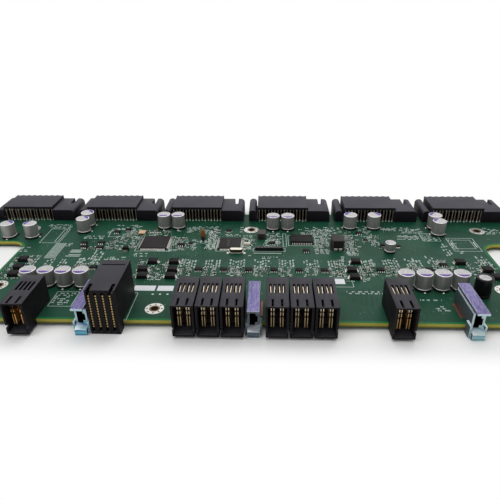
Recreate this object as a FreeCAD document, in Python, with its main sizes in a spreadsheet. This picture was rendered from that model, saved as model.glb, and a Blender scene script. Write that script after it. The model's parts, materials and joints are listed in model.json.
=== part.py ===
"""Power backplane board of a server, lying flat on the noses of its connectors.

Units are millimetres. X runs along the board, Y from the front edge to the power-supply
sockets at the back, Z up. Every sub-part is drawn in the board's own frame, whose origin is
at the middle of the front edge on the top face, and is then moved so that the whole object
is centred on X and Y and stands on Z = 0.
"""

import FreeCAD
import Part
import Sketcher
import os

# Driving dimensions, by sub-part
DIMENSIONS = {
    # Circuit board: a wide back with two wings and a narrower neck in front
    "board_width": 436.0,
    "board_depth": 152.4,
    "board_thickness": 3.0,
    "underside_gap": 1.8,
    "neck_width": 340.0,
    "wing_depth": 53.6,
    "corner_round": 3.0,
    "shoulder_round": 11.0,
    "hole_diameter": 4.5,
    "rear_hole_inset": 42.5,
    "rear_hole_setback": 30.4,
    "front_hole_inset": 9.3,
    "front_hole_setback": 36.0,
    "single_hole_x": 53.8,
    "single_hole_setback": 11.7,
    "board_clearance": 0.2,
    # Power-supply sockets
    "blade_pitch": 5.08,
    "socket_seat": 14.1,
    "socket_overhang": 12.2,
    "socket_height": 12.2,
    "socket_roof": 2.0,
    "socket_gap": 4.4,
    "socket_row_shift": 10.0,
    "horn_width": 6.2,
    "horn_flat": 0.6,
    "horn_height": 9.6,
    "horn_gap": 1.0,
    "horn_gap_floor": 3.0,
    "block_width": 9.7,
    "block_height": 9.4,
    "key_width": 3.0,
    "key_length": 11.2,
    "key_floor": 1.0,
    "end_horn_width": 5.1,
    "end_horn_round": 3.2,
    "recess_depth": 5.0,
    "recess_wall": 0.6,
    "slot_floor": 1.2,
    "vent_width": 2.6,
    "vent_length": 0.8,
    # Contacts of those sockets
    "tail_thickness": 0.6,
    "tail_width": 1.0,
    "front_tail_setback": 0.8,
    "back_tail_setback": 1.6,
    "beam_height": 2.8,
    "beam_setback": 3.0,
    "contact_clearance": 0.05,
    # Power receptacles
    "power_width": 12.6,
    "power_gap": 0.9,
    "power_nose": 10.6,
    "power_reach": 20.4,
    "power_height": 17.3,
    "power_drop": 3.2,
    "power_side_wall": 1.1,
    "power_roof": 0.9,
    "power_back_wall": 3.0,
    "power_floor": 1.2,
    "power_deck": 0.8,
    "power_notch_height": 1.8,
    "power_notch_depth": 2.0,
    "power_notch_level": 1.0,
    "long_slot_width": 1.4,
    "long_slot_length": 9.4,
    "long_slot_start": 3.6,
    "short_slot_width": 1.3,
    "short_slot_length": 7.0,
    "short_slot_setback": 0.8,
    # Contact plates of the power receptacles
    "plate_thickness": 0.45,
    "plate_roof_gap": 0.1,
    "plate_recess": 4.5,
    "plate_column": 5.1,
    "plate_pair": 1.4,
    "plate_spread": 2.5,
    "finger_length": 3.6,
    "finger_slit": 1.2,
    "low_finger_height": 7.4,
    "middle_finger_height": 2.0,
    # Signal receptacle
    "signal_x": -77.7,
    "signal_width": 17.0,
    "signal_nose": 7.2,
    "signal_reach": 27.2,
    "signal_height": 24.4,
    "column_pitch": 4.0,
    "column_shift": 0.8,
    "column_slot_width": 1.9,
    "column_back_wall": 1.0,
    "column_roof": 1.8,
    "column_floor": 1.5,
    "signal_groove_width": 13.8,
    "signal_groove_length": 1.0,
    "signal_groove_depth": 1.0,
    "signal_groove_setback": 5.4,
    "signal_notch_width": 2.0,
    "signal_notch_length": 7.0,
    "signal_notch_spacing": 12.8,
    "comb_thickness": 0.6,
    "comb_side_gap": 0.25,
    "comb_spine": 2.0,
    "tooth_pitch": 2.0,
    "tooth_height": 1.0,
    "tooth_setback": 1.2,
    # Guide sockets
    "guide_width": 7.0,
    "guide_nose": 8.9,
    "guide_reach": 23.0,
    "guide_height": 13.1,
    "guide_side_gap": 1.9,
    "guide_bore_width": 4.6,
    "guide_bore_height": 9.6,
    "guide_bore_level": 1.0,
    "guide_bore_depth": 24.0,
    "guide_key_width": 1.5,
    "guide_key_height": 1.6,
    "guide_stop_width": 1.1,
    "guide_stop_height": 3.6,
    "guide_mouth": 4.4,
    "guide_mouth_round": 1.5,
    "guide_jaw": 4.0,
    "guide_groove_height": 1.8,
    "guide_groove_depth": 0.8,
    "guide_groove_inset": 1.6,
    "guide_lip": 1.3,
    "guide_foot_width": 9.4,
    "guide_foot_length": 6.4,
    "guide_foot_rise": 3.0,
    "centre_guide_x": 5.7,
    "centre_right_gap": 3.3,
    "right_guide_x": 128.8,
    "left_power_x": -126.7,
    "right_power_x": 88.0,
    # Can capacitors
    "can_diameter": 10.2,
    "can_height": 11.5,
    "can_gap": 1.2,
    "can_base_height": 1.0,
    "base_margin": 0.1,
    "base_corner": 2.4,
    "front_row_setback": 37.5,
    "left_row_x": -122.8,
    "right_row_x": 116.4,
    "small_can_diameter": 7.3,
    "small_can_height": 7.7,
    "sleeve_diameter": 10.3,
    "sleeve_height": 12.8,
    "sleeve_gap": 0.45,
    "sleeve_advance": 7.3,
    # Chips and other parts on the board
    "processor_size": 20.0,
    "processor_height": 1.5,
    "logic_width": 16.4,
    "logic_depth": 17.2,
    "logic_height": 1.5,
    "driver_width": 17.0,
    "driver_depth": 12.6,
    "driver_height": 2.4,
    "controller_width": 5.0,
    "controller_depth": 4.0,
    "controller_height": 1.5,
    "controller_pitch": 17.0,
    "diode_width": 6.9,
    "diode_depth": 5.8,
    "diode_height": 2.4,
    "transistor_width": 5.0,
    "transistor_depth": 3.6,
    "transistor_height": 1.3,
    "mould_draft": 7.0,
    "crystal_length": 10.5,
    "crystal_depth": 4.6,
    "crystal_height": 3.4,
    "crystal_end_flat": 0.4,
    "oscillator_width": 6.4,
    "oscillator_depth": 7.2,
    "oscillator_height": 1.3,
    "inductor_width": 9.2,
    "inductor_depth": 10.4,
    "inductor_height": 8.4,
    "inductor_chamfer": 1.2,
    "filter_width": 6.4,
    "filter_depth": 8.0,
    "filter_height": 4.7,
    "filter_chamfer": 0.8,
    "header_pitch": 2.54,
    "header_depth": 2.5,
    "header_height": 2.5,
    "header_hole": 0.9,
    "header_hole_depth": 2.0,
    "dipped_width": 4.8,
    "dipped_height": 7.4,
    "dipped_depth": 3.0,
    "dipped_round": 2.0,
    "label_thickness": 0.1,
    "long_label_width": 13.6,
    "short_label_width": 10.2,
    "label_depth": 6.0,
    "label_gap": 1.4,
    "square_label_size": 6.2,
}

SOCKET_COUNT = 6
BLADE_COUNT = 8
SIDE_POWER_COUNT = 3
LONG_SLOT_COUNT = 4
COLUMN_COUNT = 4
TOOTH_COUNT = 11
ROW_CAN_COUNT = 4
HEADER_COUNT = 8

# Places on the board, set out on a drawing of this size: X from the middle, Y from the front edge
DRAWING_WIDTH = 436.0
DRAWING_NECK = 340.0
DRAWING_DEPTH = 152.4

# Rear capacitor pairs: middle of the pair, then the gap between the cans along X or along Y
REAR_CAN_PAIRS = (
    (-178.6, 107.5, "x", 7.6),
    (-132.0, 123.5, "y", 1.6),
    (-63.8, 126.0, "x", 1.1),
    (22.9, 124.7, "x", 1.3),
    (87.1, 126.9, "x", 8.3),
    (143.5, 121.6, "y", 1.0),
)
SMALL_CAN_PLACE = (100.7, 86.5)
PROCESSOR_PLACE = (-71.1, 97.0)
LOGIC_PLACE = (-14.9, 96.2)
DRIVER_PLACE = (38.6, 103.4)
CRYSTAL_PLACE = (-9.6, 83.6)
OSCILLATOR_PLACE = (-85.2, 114.4)
INDUCTOR_PLACE = (63.8, 91.6)
FILTER_PLACE = (8.4, 108.8)
HEADER_PLACE = (14.1, 87.8)
DIPPED_PLACE = (-35.5, 101.2)
STRIP_LABEL_PLACE = (-59.0, 34.2)
SQUARE_LABEL_PLACE = (60.0, 44.6)
CONTROLLER_ROW_PLACE = (-33.6, 57.8)
CONTROLLER_ROW_COUNT = 6
LONE_CONTROLLER_PLACES = ((-106.2, 59.3), (88.9, 59.3), (121.7, 59.9))
DIODE_PLACES = (
    (-66.9, 68.1),
    (-52.0, 68.1),
    (-71.4, 57.2),
    (-69.8, 48.4),
    (-51.2, 57.2),
    (-51.1, 48.4),
    (73.9, 70.2),
    (69.6, 58.4),
    (70.2, 49.2),
    (144.8, 70.2),
    (-159.4, 69.6),
    (-157.6, 58.6),
    (-157.0, 49.2),
    (159.3, 59.8),
    (161.6, 50.6),
)
TRANSISTOR_PLACES = (
    (-125.2, 96.2),
    (-123.1, 90.1),
    (-112.3, 97.0),
    (-111.0, 89.2),
    (-105.5, 115.4),
    (-51.6, 94.6),
    (16.5, 98.0),
    (41.0, 86.2),
    (83.6, 116.3),
    (132.9, 67.2),
    (107.8, 93.6),
)


class Size:
    """A length with its value and the sheet expression that drives it."""

    def __init__(self, text, value):
        self.text = text
        self.value = value

    def __add__(self, other):
        other = as_size(other)
        return Size(f"({self.text} + {other.text})", self.value + other.value)

    __radd__ = __add__

    def __sub__(self, other):
        other = as_size(other)
        return Size(f"({self.text} - {other.text})", self.value - other.value)

    def __rsub__(self, other):
        return as_size(other) - self

    def __mul__(self, other):
        other = as_size(other)
        return Size(f"({self.text} * {other.text})", self.value * other.value)

    __rmul__ = __mul__

    def __truediv__(self, other):
        other = as_size(other)
        return Size(f"({self.text} / {other.text})", self.value / other.value)

    def __neg__(self):
        return 0 - self


def as_size(number):
    """Wraps a plain number, and leaves a Size as it is."""
    if isinstance(number, Size):
        return number
    return Size(f"({float(number)!r})", float(number))


class Dimensions:
    """Reads the sheet's aliases as attributes, each one a Size."""

    def __init__(self, document, values):
        self.sheet = document.addObject("Spreadsheet::Sheet", "dims")
        for row, (alias, value) in enumerate(values.items(), start=1):
            self.sheet.set(f"A{row}", alias)
            self.sheet.set(f"B{row}", str(value))
            self.sheet.setAlias(f"B{row}", alias)
        document.recompute()

    def __getattr__(self, alias):
        return Size(f"dims.{alias}", float(self.sheet.get(alias)))


doc = FreeCAD.newDocument("power_backplane_board")
d = Dimensions(doc, DIMENSIONS)
nodes = []

# Where the board's frame sits in the finished object
board_lift = d.board_thickness + d.underside_gap
board_shift = (d.power_nose - d.board_depth - d.socket_overhang) / 2
foot = board_lift


def across_neck(x):
    """A place along X in the neck, which moves with the neck's width."""
    return d.neck_width * (x / DRAWING_NECK)


def across_wings(x):
    """A place along X near the back edge, which moves with the board's width."""
    return d.board_width * (x / DRAWING_WIDTH)


def along(y):
    """A place along Y, which moves with the board's depth."""
    return d.board_depth * (y / DRAWING_DEPTH)


def on_neck(place):
    """A place in the neck as sizes of X and Y."""
    return across_neck(place[0]), along(place[1])


def place_body(body, x=0, y=0):
    """Moves a body from the board's frame to its place in the finished object."""
    body.setExpression("Placement.Base.x", as_size(x).text)
    body.setExpression("Placement.Base.y", (board_shift + y).text)
    body.setExpression("Placement.Base.z", board_lift.text)


def new_body(label):
    """An empty body, which may hold several solids."""
    body = doc.addObject("PartDesign::Body", label)
    body.AllowCompound = True
    return body


def new_node(label):
    """A body that becomes a sub-part, drawn in the board's frame."""
    body = new_body(label)
    body.Label = label
    place_body(body)
    nodes.append(body)
    return body


def copy_node(label, master, x):
    """A sub-part that repeats a master body at its own place along X."""
    body = new_body(label)
    body.Label = label
    base = body.newObject("PartDesign::FeatureBase", label + "_base")
    base.BaseFeature = master
    body.Tip = base
    place_body(body, x)
    nodes.append(body)


def new_sketch(body, name, role, offset=None):
    """A sketch on one of the body's own planes, moved along its normal by an offset."""
    sketch = body.newObject("Sketcher::SketchObject", name)
    plane = next(item for item in body.Origin.OriginFeatures if item.Role == role)
    sketch.AttachmentSupport = [(plane, "")]
    sketch.MapMode = "FlatFace"
    if offset is not None:
        sketch.setExpression("AttachmentOffset.Base.z", offset.text)
    return sketch


def front_sketch(body, name, y):
    """A sketch in X and Z, at a distance y behind the board's front edge."""
    return new_sketch(body, name, "XZ_Plane", -as_size(y))


def side_sketch(body, name, x=0):
    """A sketch in Y and Z, at a distance x from the body's middle."""
    return new_sketch(body, name, "YZ_Plane", as_size(x))


def top_sketch(body, name, z=0):
    """A sketch in X and Y, at a height z above the board's top face."""
    return new_sketch(body, name, "XY_Plane", as_size(z))


def hold_point(sketch, geometry, end, point):
    """Ties one end of a line, or a circle's centre, to two sizes measured from the origin."""
    for direction, size in zip("XY", point):
        constraint = Sketcher.Constraint("Distance" + direction, -1, 1, geometry, end, size.value)
        index = sketch.addConstraint(constraint)
        sketch.setExpression(f"Constraints[{index}]", size.text)


def to_vector(point):
    """A sketch point as a vector."""
    return FreeCAD.Vector(point[0].value, point[1].value, 0)


def step_towards(corner, other):
    """The sign of the step along each axis from one corner to its neighbour."""
    signs = []
    for here, there in zip(corner[:2], other[:2]):
        difference = there.value - here.value
        signs.append((difference > 1e-9) - (difference < -1e-9))
    return signs


def draw_outline(sketch, corners):
    """Draws a closed outline. A corner's third value, where it has one, rounds it."""
    corners = [tuple(as_size(value) for value in corner) for corner in corners]
    count = len(corners)
    entries = []
    leaves = []
    for i, corner in enumerate(corners):
        point = corner[:2]
        if len(corner) == 2:
            entries.append(point)
            leaves.append(point)
            continue
        radius = corner[2]
        back = step_towards(corner, corners[i - 1])
        ahead = step_towards(corner, corners[(i + 1) % count])
        entries.append(tuple(size + radius * sign for size, sign in zip(point, back)))
        leaves.append(tuple(size + radius * sign for size, sign in zip(point, ahead)))
    lines = []
    for i in range(count):
        segment = Part.LineSegment(to_vector(leaves[i]), to_vector(entries[(i + 1) % count]))
        line = sketch.addGeometry(segment, False)
        hold_point(sketch, line, 1, leaves[i])
        lines.append(line)
    for i, corner in enumerate(corners):
        before = lines[i - 1]
        after = lines[i]
        if len(corner) == 2:
            sketch.addConstraint(Sketcher.Constraint("Coincident", before, 2, after, 1))
            continue
        hold_point(sketch, before, 2, entries[i])
        draw_round_corner(sketch, corner, entries[i], leaves[i], before, after)


def draw_round_corner(sketch, corner, entry, leave, before, after):
    """Joins two lines that meet at a right angle with a tangent arc."""
    centre = tuple(a + b - c for a, b, c in zip(entry, leave, corner))
    start = to_vector(entry) - to_vector(centre)
    end = to_vector(leave) - to_vector(centre)
    turns_left = start.cross(end).z > 0
    first, last = (start, end) if turns_left else (end, start)
    angles = [FreeCAD.Vector(1, 0, 0).getAngle(v) * (1 if v.y >= 0 else -1) for v in (first, last)]
    circle = Part.Circle(to_vector(centre), FreeCAD.Vector(0, 0, 1), corner[2].value)
    arc = sketch.addGeometry(Part.ArcOfCircle(circle, *angles), False)
    entry_end, leave_end = (1, 2) if turns_left else (2, 1)
    sketch.addConstraint(Sketcher.Constraint("Coincident", arc, entry_end, before, 2))
    sketch.addConstraint(Sketcher.Constraint("Coincident", arc, leave_end, after, 1))
    index = sketch.addConstraint(Sketcher.Constraint("Radius", arc, corner[2].value))
    sketch.setExpression(f"Constraints[{index}]", corner[2].text)


def draw_rectangle(sketch, left, low, right, high, radius=None):
    """Draws a rectangle between two opposite corners, with its corners rounded or sharp."""
    corners = [(left, low), (right, low), (right, high), (left, high)]
    if radius is not None:
        corners = [corner + (radius,) for corner in corners]
    draw_outline(sketch, corners)


def draw_centred(sketch, centre, width, depth, radius=None):
    """Draws a rectangle about its centre."""
    x, y = (as_size(value) for value in centre)
    draw_rectangle(sketch, x - width / 2, y - depth / 2, x + width / 2, y + depth / 2, radius)


def draw_circle(sketch, centre, diameter):
    """Draws a circle whose centre and radius are held by sizes."""
    centre = tuple(as_size(value) for value in centre)
    circle = Part.Circle(to_vector(centre), FreeCAD.Vector(0, 0, 1), diameter.value / 2)
    index = sketch.addGeometry(circle, False)
    hold_point(sketch, index, 3, centre)
    radius = sketch.addConstraint(Sketcher.Constraint("Radius", index, diameter.value / 2))
    sketch.setExpression(f"Constraints[{radius}]", (diameter / 2).text)


def extrude(body, kind, name, sketch, length, symmetric, backwards, draft):
    """A pad or a pocket of a sketch, which becomes the body's tip."""
    feature = body.newObject("PartDesign::" + kind, name)
    feature.Profile = sketch
    feature.SideType = "Symmetric" if symmetric else "One side"
    feature.Reversed = backwards
    feature.setExpression("Length", length.text)
    if draft is not None:
        feature.setExpression("TaperAngle", (-draft).text)
    body.Tip = feature
    return feature


def pad(body, name, sketch, length, symmetric=False, backwards=False, draft=None):
    """Adds material along the sketch's normal, with drafted sides if asked."""
    return extrude(body, "Pad", name, sketch, length, symmetric, backwards, draft)


def pocket(body, name, sketch, length, symmetric=False, backwards=False):
    """Takes material away, against the sketch's normal unless it is turned round."""
    return extrude(body, "Pocket", name, sketch, length, symmetric, backwards, None)


def repeat(body, name, feature, axis, pitch, count):
    """Repeats a feature along an axis of its own sketch."""
    pattern = body.newObject("PartDesign::LinearPattern", name)
    pattern.Originals = [feature]
    pattern.Direction = (feature.Profile[0], [axis])
    pattern.Mode = "Spacing"
    pattern.setExpression("Offset", pitch.text)
    pattern.Occurrences = count
    body.Tip = pattern
    return pattern


# Circuit board
board = new_node("circuit_board")
half_width = d.board_width / 2
half_neck = d.neck_width / 2
shoulder = d.board_depth - d.wing_depth
outline = top_sketch(board, "board_outline")
draw_outline(outline, [
    (-half_neck, 0, d.corner_round),
    (half_neck, 0, d.corner_round),
    (half_neck, shoulder, d.shoulder_round),
    (half_width, shoulder, d.corner_round),
    (half_width, d.board_depth, d.corner_round),
    (-half_width, d.board_depth, d.corner_round),
    (-half_width, shoulder, d.corner_round),
    (-half_neck, shoulder, d.shoulder_round),
])
pad(board, "board_sheet", outline, d.board_thickness, backwards=True)
rear_hole_x = half_width - d.rear_hole_inset
front_hole_x = half_neck - d.front_hole_inset
rear_hole_y = d.board_depth - d.rear_hole_setback
holes = top_sketch(board, "mounting_holes")
for hole_place in (
    (-rear_hole_x, rear_hole_y),
    (0, rear_hole_y),
    (rear_hole_x, rear_hole_y),
    (-front_hole_x, d.front_hole_setback),
    (front_hole_x, d.front_hole_setback),
    (-d.single_hole_x, d.single_hole_setback),
):
    draw_circle(holes, hole_place, d.hole_diameter)
pocket(board, "mounting_hole_cut", holes, d.board_thickness)

# Power-supply socket: one moulding, drawn as its front view and cut from the front, back and top
socket = new_body("socket_master")
socket_width = d.blade_pitch * BLADE_COUNT
half_socket = socket_width / 2
socket_front = d.board_depth - d.socket_seat
socket_back = d.board_depth + d.socket_overhang
socket_depth = d.socket_seat + d.socket_overhang
horn_right = -half_socket - d.horn_gap
horn_left = horn_right - d.horn_width
horn_round = (d.horn_width - d.horn_flat) / 2
key_left = half_socket + d.block_width
key_right = key_left + d.key_width
socket_end = key_right + d.end_horn_width
socket_ceiling = d.socket_height - d.socket_roof
first_slot = -d.blade_pitch * (BLADE_COUNT - 1) / 2
slot_width = d.blade_pitch / 2 + d.tail_thickness + 2 * d.contact_clearance

front_view = front_sketch(socket, "socket_front_view", socket_back)
draw_outline(front_view, [
    (horn_left, -foot),
    (horn_left, d.horn_height, horn_round),
    (horn_right, d.horn_height, horn_round),
    (horn_right, d.horn_gap_floor),
    (-half_socket, d.horn_gap_floor),
    (-half_socket, d.socket_height),
    (half_socket, d.socket_height),
    (half_socket, d.block_height),
    (socket_end, d.block_height, d.end_horn_round),
    (socket_end, -foot),
])
pad(socket, "socket_moulding", front_view, socket_depth)
board_step = side_sketch(socket, "board_step")
draw_rectangle(board_step, socket_front, -foot, d.board_depth + d.board_clearance, 0)
pocket(socket, "board_step_cut", board_step, 2 * (socket_end - horn_left), symmetric=True)
tail_recess = front_sketch(socket, "tail_recess", socket_front)
recess_half = half_socket - d.recess_wall
draw_rectangle(tail_recess, -recess_half, 0, recess_half, socket_ceiling)
pocket(socket, "tail_recess_cut", tail_recess, d.recess_depth)
blade_slot = front_sketch(socket, "blade_slot", socket_back)
draw_rectangle(blade_slot, first_slot - slot_width / 2, d.slot_floor,
               first_slot + slot_width / 2, socket_ceiling)
slot_cut = pocket(socket, "blade_slot_cut", blade_slot, socket_depth - d.recess_depth, backwards=True)
repeat(socket, "blade_slot_row", slot_cut, "H_Axis", d.blade_pitch, BLADE_COUNT)
vent = top_sketch(socket, "vent", d.socket_height)
draw_rectangle(vent, first_slot - d.vent_width / 2, socket_back - d.vent_length,
               first_slot + d.vent_width / 2, socket_back)
vent_cut = pocket(socket, "vent_cut", vent, d.socket_roof)
repeat(socket, "vent_row", vent_cut, "H_Axis", d.blade_pitch, BLADE_COUNT)
keyway = top_sketch(socket, "keyway", d.block_height)
draw_rectangle(keyway, key_left, socket_back - d.key_length, key_right, socket_back)
pocket(socket, "keyway_cut", keyway, d.block_height - d.key_floor)

# Socket contacts: two tapered beams in each blade slot, whose tails stand on the board in two rows
socket_contacts = new_body("socket_contact_master")
beam_top = socket_ceiling - d.contact_clearance
beam_end = socket_back - d.beam_setback
for row_name, side, setback in (
    ("front", -1, d.front_tail_setback),
    ("back", 1, d.back_tail_setback),
):
    tail_front = socket_front + setback
    profile = side_sketch(socket_contacts, row_name + "_contact", first_slot + d.blade_pitch * side / 4)
    draw_outline(profile, [
        (tail_front, 0),
        (tail_front + d.tail_width, 0),
        (tail_front + d.tail_width, beam_top - d.beam_height),
        (beam_end, beam_top),
        (tail_front, beam_top),
    ])
    contact = pad(socket_contacts, row_name + "_contact_plate", profile, d.tail_thickness, symmetric=True)
    repeat(socket_contacts, row_name + "_contact_row", contact, "N_Axis", d.blade_pitch, BLADE_COUNT)

socket_pitch = socket_end - horn_left + d.socket_gap
for i in range(SOCKET_COUNT):
    socket_x = socket_pitch * (i - (SOCKET_COUNT - 1) / 2) - d.socket_row_shift
    copy_node(f"psu_socket_{i + 1}", socket, socket_x)
    copy_node(f"psu_contacts_{i + 1}", socket_contacts, socket_x)

# Power receptacle: a housing open to the front, with a deck over the board and slots in its roof
power = new_body("power_master")
chamber_top = d.power_height - d.power_roof
nose_back = -d.board_clearance
side_view = side_sketch(power, "power_side_view")
draw_outline(side_view, [
    (-d.power_nose, -d.power_drop),
    (nose_back, -d.power_drop),
    (nose_back, 0),
    (d.power_reach, 0),
    (d.power_reach, d.power_height),
    (-d.power_nose, d.power_height),
])
pad(power, "power_moulding", side_view, d.power_width, symmetric=True)
chamber = side_sketch(power, "power_chamber")
chamber_floor = d.power_floor - d.power_drop
draw_outline(chamber, [
    (-d.power_nose, chamber_floor),
    (nose_back - d.power_floor, chamber_floor),
    (nose_back - d.power_floor, d.power_deck),
    (d.power_reach - d.power_back_wall, d.power_deck),
    (d.power_reach - d.power_back_wall, chamber_top),
    (-d.power_nose, chamber_top),
])
pocket(power, "power_chamber_cut", chamber, d.power_width - 2 * d.power_side_wall, symmetric=True)
long_slot = top_sketch(power, "long_slot", d.power_height)
first_plate = -d.plate_spread * (LONG_SLOT_COUNT - 1) / 2
draw_rectangle(long_slot, first_plate - d.long_slot_width / 2, d.long_slot_start,
               first_plate + d.long_slot_width / 2, d.long_slot_start + d.long_slot_length)
long_cut = pocket(power, "long_slot_cut", long_slot, d.power_roof)
repeat(power, "long_slot_row", long_cut, "H_Axis", d.plate_spread, LONG_SLOT_COUNT)
short_slot = top_sketch(power, "short_slot", d.power_height)
short_start = d.short_slot_setback - d.power_nose
draw_rectangle(short_slot, (-d.plate_column - d.short_slot_width) / 2, short_start,
               (d.short_slot_width - d.plate_column) / 2, short_start + d.short_slot_length)
short_cut = pocket(power, "short_slot_cut", short_slot, d.power_roof)
repeat(power, "short_slot_row", short_cut, "H_Axis", d.plate_column, 2)
side_notch = side_sketch(power, "side_notch")
draw_rectangle(side_notch, -d.power_nose, d.power_notch_level,
               d.power_notch_depth - d.power_nose, d.power_notch_level + d.power_notch_height)
pocket(power, "side_notch_cut", side_notch, 2 * d.power_width, symmetric=True)

# Power contacts: four plates that close into two pairs of fingers towards the front
power_contacts = new_body("power_contact_master")
plate_front = d.plate_recess - d.power_nose
finger_back = plate_front + d.finger_length
plate_end = d.long_slot_start + d.long_slot_length
plates = top_sketch(power_contacts, "contact_plates", d.power_deck)
for i in range(LONG_SLOT_COUNT):
    column = d.plate_column * (i // 2 - 0.5)
    front_x = column + d.plate_pair * (i % 2 - 0.5)
    back_x = first_plate + d.plate_spread * i
    edge = d.plate_thickness / 2
    draw_outline(plates, [
        (front_x - edge, plate_front),
        (front_x + edge, plate_front),
        (front_x + edge, finger_back),
        (back_x + edge, plate_end),
        (back_x - edge, plate_end),
        (front_x - edge, finger_back),
    ])
pad(power_contacts, "contact_plate_blanks", plates, chamber_top - d.plate_roof_gap - d.power_deck)
finger_gaps = side_sketch(power_contacts, "finger_gaps")
middle_finger = d.low_finger_height + d.finger_slit
top_finger = middle_finger + d.middle_finger_height + d.finger_slit
draw_rectangle(finger_gaps, plate_front, d.low_finger_height, finger_back, middle_finger)
draw_rectangle(finger_gaps, plate_front, top_finger - d.finger_slit, finger_back, top_finger)
pocket(power_contacts, "finger_gap_cut", finger_gaps, 2 * d.power_width, symmetric=True)

power_pitch = d.power_width + d.power_gap
side_reach = (d.guide_width + d.power_width) / 2
power_places = [d.left_power_x]
for i in range(SIDE_POWER_COUNT):
    steps = SIDE_POWER_COUNT - 1 - i
    power_places.append(d.centre_guide_x - side_reach - d.guide_side_gap - power_pitch * steps)
for i in range(SIDE_POWER_COUNT):
    power_places.append(d.centre_guide_x + side_reach + d.centre_right_gap + power_pitch * i)
power_places.append(d.right_power_x)
for i, power_x in enumerate(power_places, start=1):
    copy_node(f"power_receptacle_{i}", power, power_x)
    copy_node(f"power_contacts_{i}", power_contacts, power_x)

# Signal receptacle: a tall housing with four contact columns in its front
signal = new_node("signal_receptacle")
place_body(signal, d.signal_x)
signal_side = side_sketch(signal, "signal_side_view")
draw_outline(signal_side, [
    (-d.signal_nose, -foot),
    (nose_back, -foot),
    (nose_back, 0),
    (d.signal_reach, 0),
    (d.signal_reach, d.signal_height),
    (-d.signal_nose, d.signal_height),
])
pad(signal, "signal_moulding", signal_side, d.signal_width, symmetric=True)
first_column = -d.column_pitch * (COLUMN_COUNT - 1) / 2 - d.column_shift
column_low = d.column_floor - foot
column_high = d.signal_height - d.column_roof
column_slot = front_sketch(signal, "column_slot", -d.signal_nose)
draw_rectangle(column_slot, first_column - d.column_slot_width / 2, column_low,
               first_column + d.column_slot_width / 2, column_high)
column_end = nose_back - d.column_back_wall
column_cut = pocket(signal, "column_slot_cut", column_slot, column_end + d.signal_nose)
repeat(signal, "column_slot_row", column_cut, "H_Axis", d.column_pitch, COLUMN_COUNT)
groove = top_sketch(signal, "signal_groove", d.signal_height)
groove_back = d.signal_reach - d.signal_groove_setback
draw_rectangle(groove, -d.signal_groove_width / 2, groove_back - d.signal_groove_length,
               d.signal_groove_width / 2, groove_back)
pocket(signal, "signal_groove_cut", groove, d.signal_groove_depth)
top_notch = top_sketch(signal, "top_notch", d.signal_height)
draw_rectangle(top_notch, (-d.signal_notch_spacing - d.signal_notch_width) / 2, -d.signal_nose,
               (d.signal_notch_width - d.signal_notch_spacing) / 2, d.signal_notch_length - d.signal_nose)
notch_cut = pocket(signal, "top_notch_cut", top_notch, d.column_roof)
repeat(signal, "top_notch_pair", notch_cut, "H_Axis", d.signal_notch_spacing, 2)

# Signal contact comb: spring fingers on a spine at the back of a column slot
comb = new_body("comb_master")
comb_low = (column_low + column_high - d.tooth_pitch * (TOOTH_COUNT - 1) - d.tooth_height) / 2
comb_top = comb_low + d.tooth_pitch * (TOOTH_COUNT - 1) + d.tooth_height
spine = side_sketch(comb, "comb_spine_view")
draw_rectangle(spine, column_end - d.comb_spine, comb_low, column_end, comb_top)
pad(comb, "comb_spine_plate", spine, d.comb_thickness, symmetric=True)
tooth = side_sketch(comb, "comb_tooth")
draw_rectangle(tooth, d.tooth_setback - d.signal_nose, comb_low,
               column_end - d.comb_spine, comb_low + d.tooth_height)
tooth_pad = pad(comb, "comb_tooth_plate", tooth, d.comb_thickness, symmetric=True)
repeat(comb, "comb_teeth", tooth_pad, "V_Axis", d.tooth_pitch, TOOTH_COUNT)

# Guide socket: a plated metal block with a keyed bore, a mouth between lip and jaw, and a foot
guide = new_body("guide_master")
guide_side = side_sketch(guide, "guide_side_view")
draw_outline(guide_side, [
    (-d.guide_nose, -foot),
    (nose_back, -foot),
    (nose_back, 0),
    (d.guide_reach, 0),
    (d.guide_reach, d.guide_height),
    (-d.guide_nose, d.guide_height),
])
pad(guide, "guide_block", guide_side, d.guide_width, symmetric=True)
guide_foot = top_sketch(guide, "guide_foot", -foot)
draw_rectangle(guide_foot, -d.guide_foot_width / 2, nose_back - d.guide_foot_length,
               d.guide_foot_width / 2, nose_back)
pad(guide, "guide_foot_block", guide_foot, foot + d.guide_foot_rise)
mouth = side_sketch(guide, "guide_mouth")
mouth_back = d.guide_mouth - d.guide_nose
lip_low = d.guide_height - d.guide_lip
draw_outline(mouth, [
    (-d.guide_nose, d.guide_jaw - foot),
    (mouth_back, d.guide_bore_level),
    (mouth_back, lip_low, d.guide_mouth_round),
    (-d.guide_nose, lip_low),
])
pocket(guide, "guide_mouth_cut", mouth, d.guide_width, symmetric=True)
guide_bore = front_sketch(guide, "guide_bore", mouth_back)
bore_half = d.guide_bore_width / 2
bore_top = d.guide_bore_level + d.guide_bore_height
draw_outline(guide_bore, [
    (-bore_half, d.guide_bore_level),
    (bore_half - d.guide_key_width, d.guide_bore_level),
    (bore_half - d.guide_key_width, d.guide_bore_level + d.guide_key_height),
    (bore_half, d.guide_bore_level + d.guide_key_height),
    (bore_half, bore_top - d.guide_stop_height),
    (bore_half - d.guide_stop_width, bore_top - d.guide_stop_height),
    (bore_half - d.guide_stop_width, bore_top),
    (-bore_half, bore_top),
])
pocket(guide, "guide_bore_cut", guide_bore, d.guide_bore_depth - d.guide_mouth)
rail_groove = front_sketch(guide, "rail_groove", d.guide_groove_inset - d.guide_nose)
half_guide = d.guide_width / 2
draw_rectangle(rail_groove, d.guide_groove_depth - half_guide, lip_low - d.guide_groove_height,
               -half_guide, lip_low)
draw_rectangle(rail_groove, half_guide - d.guide_groove_depth, lip_low - d.guide_groove_height,
               half_guide, lip_low)
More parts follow.
